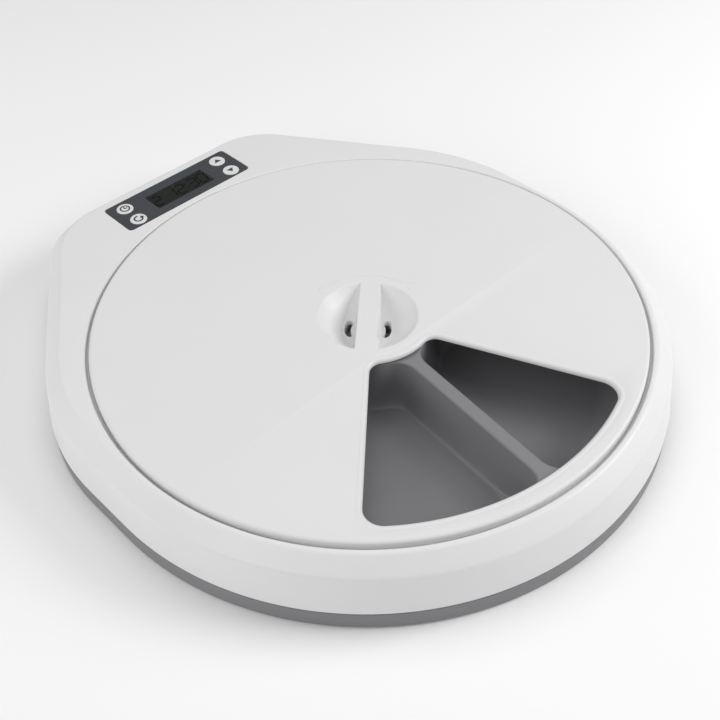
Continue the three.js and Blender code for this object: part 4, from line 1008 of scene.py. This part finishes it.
def button_sign(name):
    """The printed sign of a button, as flats that lie on its top."""
    skin = Skin()
    middle = about_axis(middle_of("button_" + name))
    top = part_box("button_" + name)[1][2]
    low, high = top - 0.1 * MM, top + 0.03 * MM
    for sign in SIGNS[name]:
        loops = sign if isinstance(sign, tuple) else (sign,)
        slab(skin, [shifted(loop, middle) for loop in loops], low, high)
    return place("sign_" + name, skin, "button_" + name, INK)


# ---------------------------------------------------------------- underside
def rubber_foot(node):
    """A foot turned from a profile: rounded edges and a shallow ring groove in its sole."""
    low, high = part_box(node)
    radius = (high[0] - low[0]) / 2
    profile = rounded_path(
        [(0.02 * MM, 0.5 * MM), (0.42 * radius, 0.5 * MM), (0.5 * radius, 0), (radius - 0.3 * MM, 0),
         (radius, high[2]), (0.02 * MM, high[2])],
        [0.3 * MM, 0.3 * MM, 0.9 * MM, 0.3 * MM], 6)
    skin = Skin()
    skin.closed_turn(profile, 64, about_axis(middle_of(node)))
    return place("sole_" + node, skin, "housing", RUBBER, (node,))


def case_screw(node):
    """A screw whose domed head is a height over rings of points, sunk where the driver's cross is."""
    low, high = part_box(node)
    head = (high[0] - low[0]) / 2
    head_height, shank_radius = 1.8 * MM, 1.2 * MM
    angle = np.linspace(0, 2 * math.pi, 96, endpoint=False)
    radii = np.array([0.02, 0.15, 0.3, 0.4, 0.5, 0.62, 0.75, 0.88, 0.96, 1.0])[:, None] * head
    x, y = radii * np.cos(angle), radii * np.sin(angle)
    dome = 0.55 * MM * (radii / head) ** 4
    arm = np.minimum(np.abs(x), np.abs(y)) - 0.42 * MM
    reach = 1.75 * MM - np.maximum(np.abs(x), np.abs(y))
    slope, cross_depth = 0.22 * MM, 1.0 * MM
    cross = np.clip(np.minimum(-arm, reach) / slope, 0, 1) * cross_depth
    top = np.stack([x, y, low[2] + dome + cross], axis=-1)
    thread = np.tile([0.0, 0.16, 0.0], 9)[:, None] * MM
    heights = np.linspace(low[2] + head_height, high[2] - 0.4 * MM, len(thread))
    radius = shank_radius + thread
    shank = np.stack([radius * np.cos(angle), radius * np.sin(angle),
                      np.repeat(heights[:, None], len(angle), axis=1)], axis=-1)
    shoulder = top[-1] * (1, 1, 0) + (0, 0, low[2] + head_height)
    tip = shank[-1] * (0.3, 0.3, 0) + (0, 0, high[2])
    rings = np.concatenate([top, [shoulder], shank, [tip]]) + (*about_axis(middle_of(node)), 0)
    skin = Skin()
    skin.rings(rings)
    skin.cap(rings[0])
    skin.cap(rings[-1])
    return place("head_" + node, skin, "housing", STEEL, (node,))


def battery_door(side):
    """A sliding door: a plate with rounded edges and a patch of raised grip ribs under its front."""
    node = "battery_door_" + side
    low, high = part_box(node)
    middle = about_axis(middle_of(node))
    width, depth = high[0] - low[0], high[1] - low[1]
    skin = Skin()
    edge = ((0.3 * MM, low[2] + 0.02 * MM), (0, low[2] + 0.3 * MM), (0, high[2] - 0.2 * MM),
            (0.2 * MM, high[2]))
    rings = stacked((width, depth), lambda inward: 0.8 * MM, middle, edge)
    skin.rings(rings)
    skin.flat([rings[0]], rings[0][0][2])
    skin.flat([rings[-1]], high[2])
    for index in range(6):
        rib = shifted(rounded_rectangle(14 * MM, 0.9 * MM, 0.44 * MM, 5), middle)
        rib = rib + (0, -depth / 2 + (5 + 1.9 * index) * MM)
        centre = rib.mean(axis=0)
        crest = centre + (rib - centre) * (0.97, 0.6)
        rib_root, rib_end = low[2] + 0.2 * MM, low[2] - 0.35 * MM
        skin.rings([lift(rib, rib_root), lift(crest, rib_end)])
        skin.flat([rib], rib_root)
        skin.flat([crest], rib_end)
    return place("door_" + side, skin, node, BASE_GRAY, (node,))


# ---------------------------------------------------------------- inside
INSIDE = {
    "center_post": BASE_GRAY, "tray_bearing": ACETAL, "tray_gear": ACETAL, "drive_pinion": ACETAL,
    "gearbox_case": BLACK, "motor": STEEL, "control_board": BOARD, "display_module": BLACK,
    "index_sensor": BOARD, "index_magnet": STEEL, "switch_": BLACK, "battery_box_": BLACK,
    "contact_": STEEL, "battery_left_": SLEEVE, "battery_right_": SLEEVE,
}


def dress_inside():
    """Finishes for the pieces inside the housing."""
    for node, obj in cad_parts.items():
        for start, material in INSIDE.items():
            if node.startswith(start):
                for slot in obj.material_slots:
                    slot.link = "DATA"
                    slot.material = material


# ---------------------------------------------------------------- studio
def studio_floor():
    """A pale floor that curves up into a backdrop behind the camera's view: a profile of depth and
    height carried along X."""
    run = rounded_path([(-9, 0), (7, 0), (9.5, 5)], [4], 24)
    width = np.linspace(-9, 9, 5)
    grid = np.array([[(x, y, z) for x in width] for y, z in run])
    rows, columns = grid.shape[:2]
    index = np.arange(rows * columns).reshape(rows, columns)
    faces = np.stack([index[:-1, :-1], index[:-1, 1:], index[1:, 1:], index[1:, :-1]], axis=-1)
    mesh = bpy.data.meshes.new("studio_floor")
    mesh.from_pydata(grid.reshape(-1, 3).tolist(), [], faces.reshape(-1, 4).tolist())
    mesh.shade_smooth()
    paper = bpy.data.materials.new("paper")
    paper.use_nodes = True
    surface = paper.node_tree.nodes["Principled BSDF"]
    surface.inputs["Base Color"].default_value = (0.97, 0.97, 0.97, 1)
    surface.inputs["Roughness"].default_value = 0.9
    mesh.materials.append(paper)
    floor = bpy.data.objects.new("studio_floor", mesh)
    bpy.context.scene.collection.objects.link(floor)
    floor.location.z = -0.0002


def softbox(name, position, target, size, power):
    """A square area light that faces a target."""
    light = bpy.data.lights.new(name, "AREA")
    light.size = size
    light.energy = power
    obj = bpy.data.objects.new(name, light)
    obj.location = position
    obj.rotation_mode = "QUATERNION"
    obj.rotation_quaternion = (Vector(target) - Vector(position)).to_track_quat("-Z", "Y")
    bpy.context.scene.collection.objects.link(obj)


def studio():
    """Soft light from above and both sides, in a pale room."""
    studio_floor()
    softbox("overhead", (0.25, 0.3, 1.7), (0, 0, 0), 1.4, 5.5)
    softbox("front_left", (-1.2, -0.1, 0.7), (0, 0, 0.02), 0.8, 4.2)
    softbox("right_side", (0.8, -0.7, 0.75), (0, 0, 0.02), 0.6, 9)
    softbox("left_side", (-0.9, 0.8, 0.7), (0, 0, 0.02), 0.9, 3.5)
    world = bpy.data.worlds.new("room")
    world.use_nodes = True
    room = world.node_tree.nodes["Background"]
    room.inputs["Color"].default_value = (1, 1, 1, 1)
    room.inputs["Strength"].default_value = 0.34
    bpy.context.scene.world = world
    bpy.context.scene.view_settings.view_transform = "Standard"


CAMERA_TURN = math.radians(42.78)      # view direction, from +Y toward +X
CAMERA_FALL = math.radians(44.59)      # below the horizon
CAMERA_ROLL = math.radians(1.81)
CAMERA_DISTANCE = 0.5206
CAMERA_LENS = 52.33
CAMERA_TARGET = (-0.025, -0.020, 0.0406)     # from the tray axis


def camera():
    """A camera a set distance back from its target along the view direction, slightly rolled."""
    lens = bpy.data.cameras.new("camera")
    lens.lens = CAMERA_LENS
    lens.clip_start = 0.01
    obj = bpy.data.objects.new("camera", lens)
    bpy.context.scene.collection.objects.link(obj)
    bpy.context.scene.camera = obj
    ahead = Vector((math.sin(CAMERA_TURN) * math.cos(CAMERA_FALL),
                    math.cos(CAMERA_TURN) * math.cos(CAMERA_FALL), -math.sin(CAMERA_FALL)))
    target = Vector(CAMERA_TARGET) + Vector((0, AXIS_Y, 0))
    obj.location = target - ahead * CAMERA_DISTANCE
    obj.rotation_mode = "QUATERNION"
    obj.rotation_quaternion = Quaternion(ahead, CAMERA_ROLL) @ ahead.to_track_quat("-Z", "Y")


# ---------------------------------------------------------------- the feeder
housing_shell()
base_skirt()
lid_cover()
lid_marks()
meal_tray()
control_label()
display_pane()
display_numerals()
for button in BUTTONS:
    button_cap(button)
    button_sign(button)
for number in range(1, 7):
    rubber_foot(f"foot_{number}")
    case_screw(f"case_screw_{number}")
for bay_side in ("left", "right"):
    battery_door(bay_side)
dress_inside()
camera()
studio()
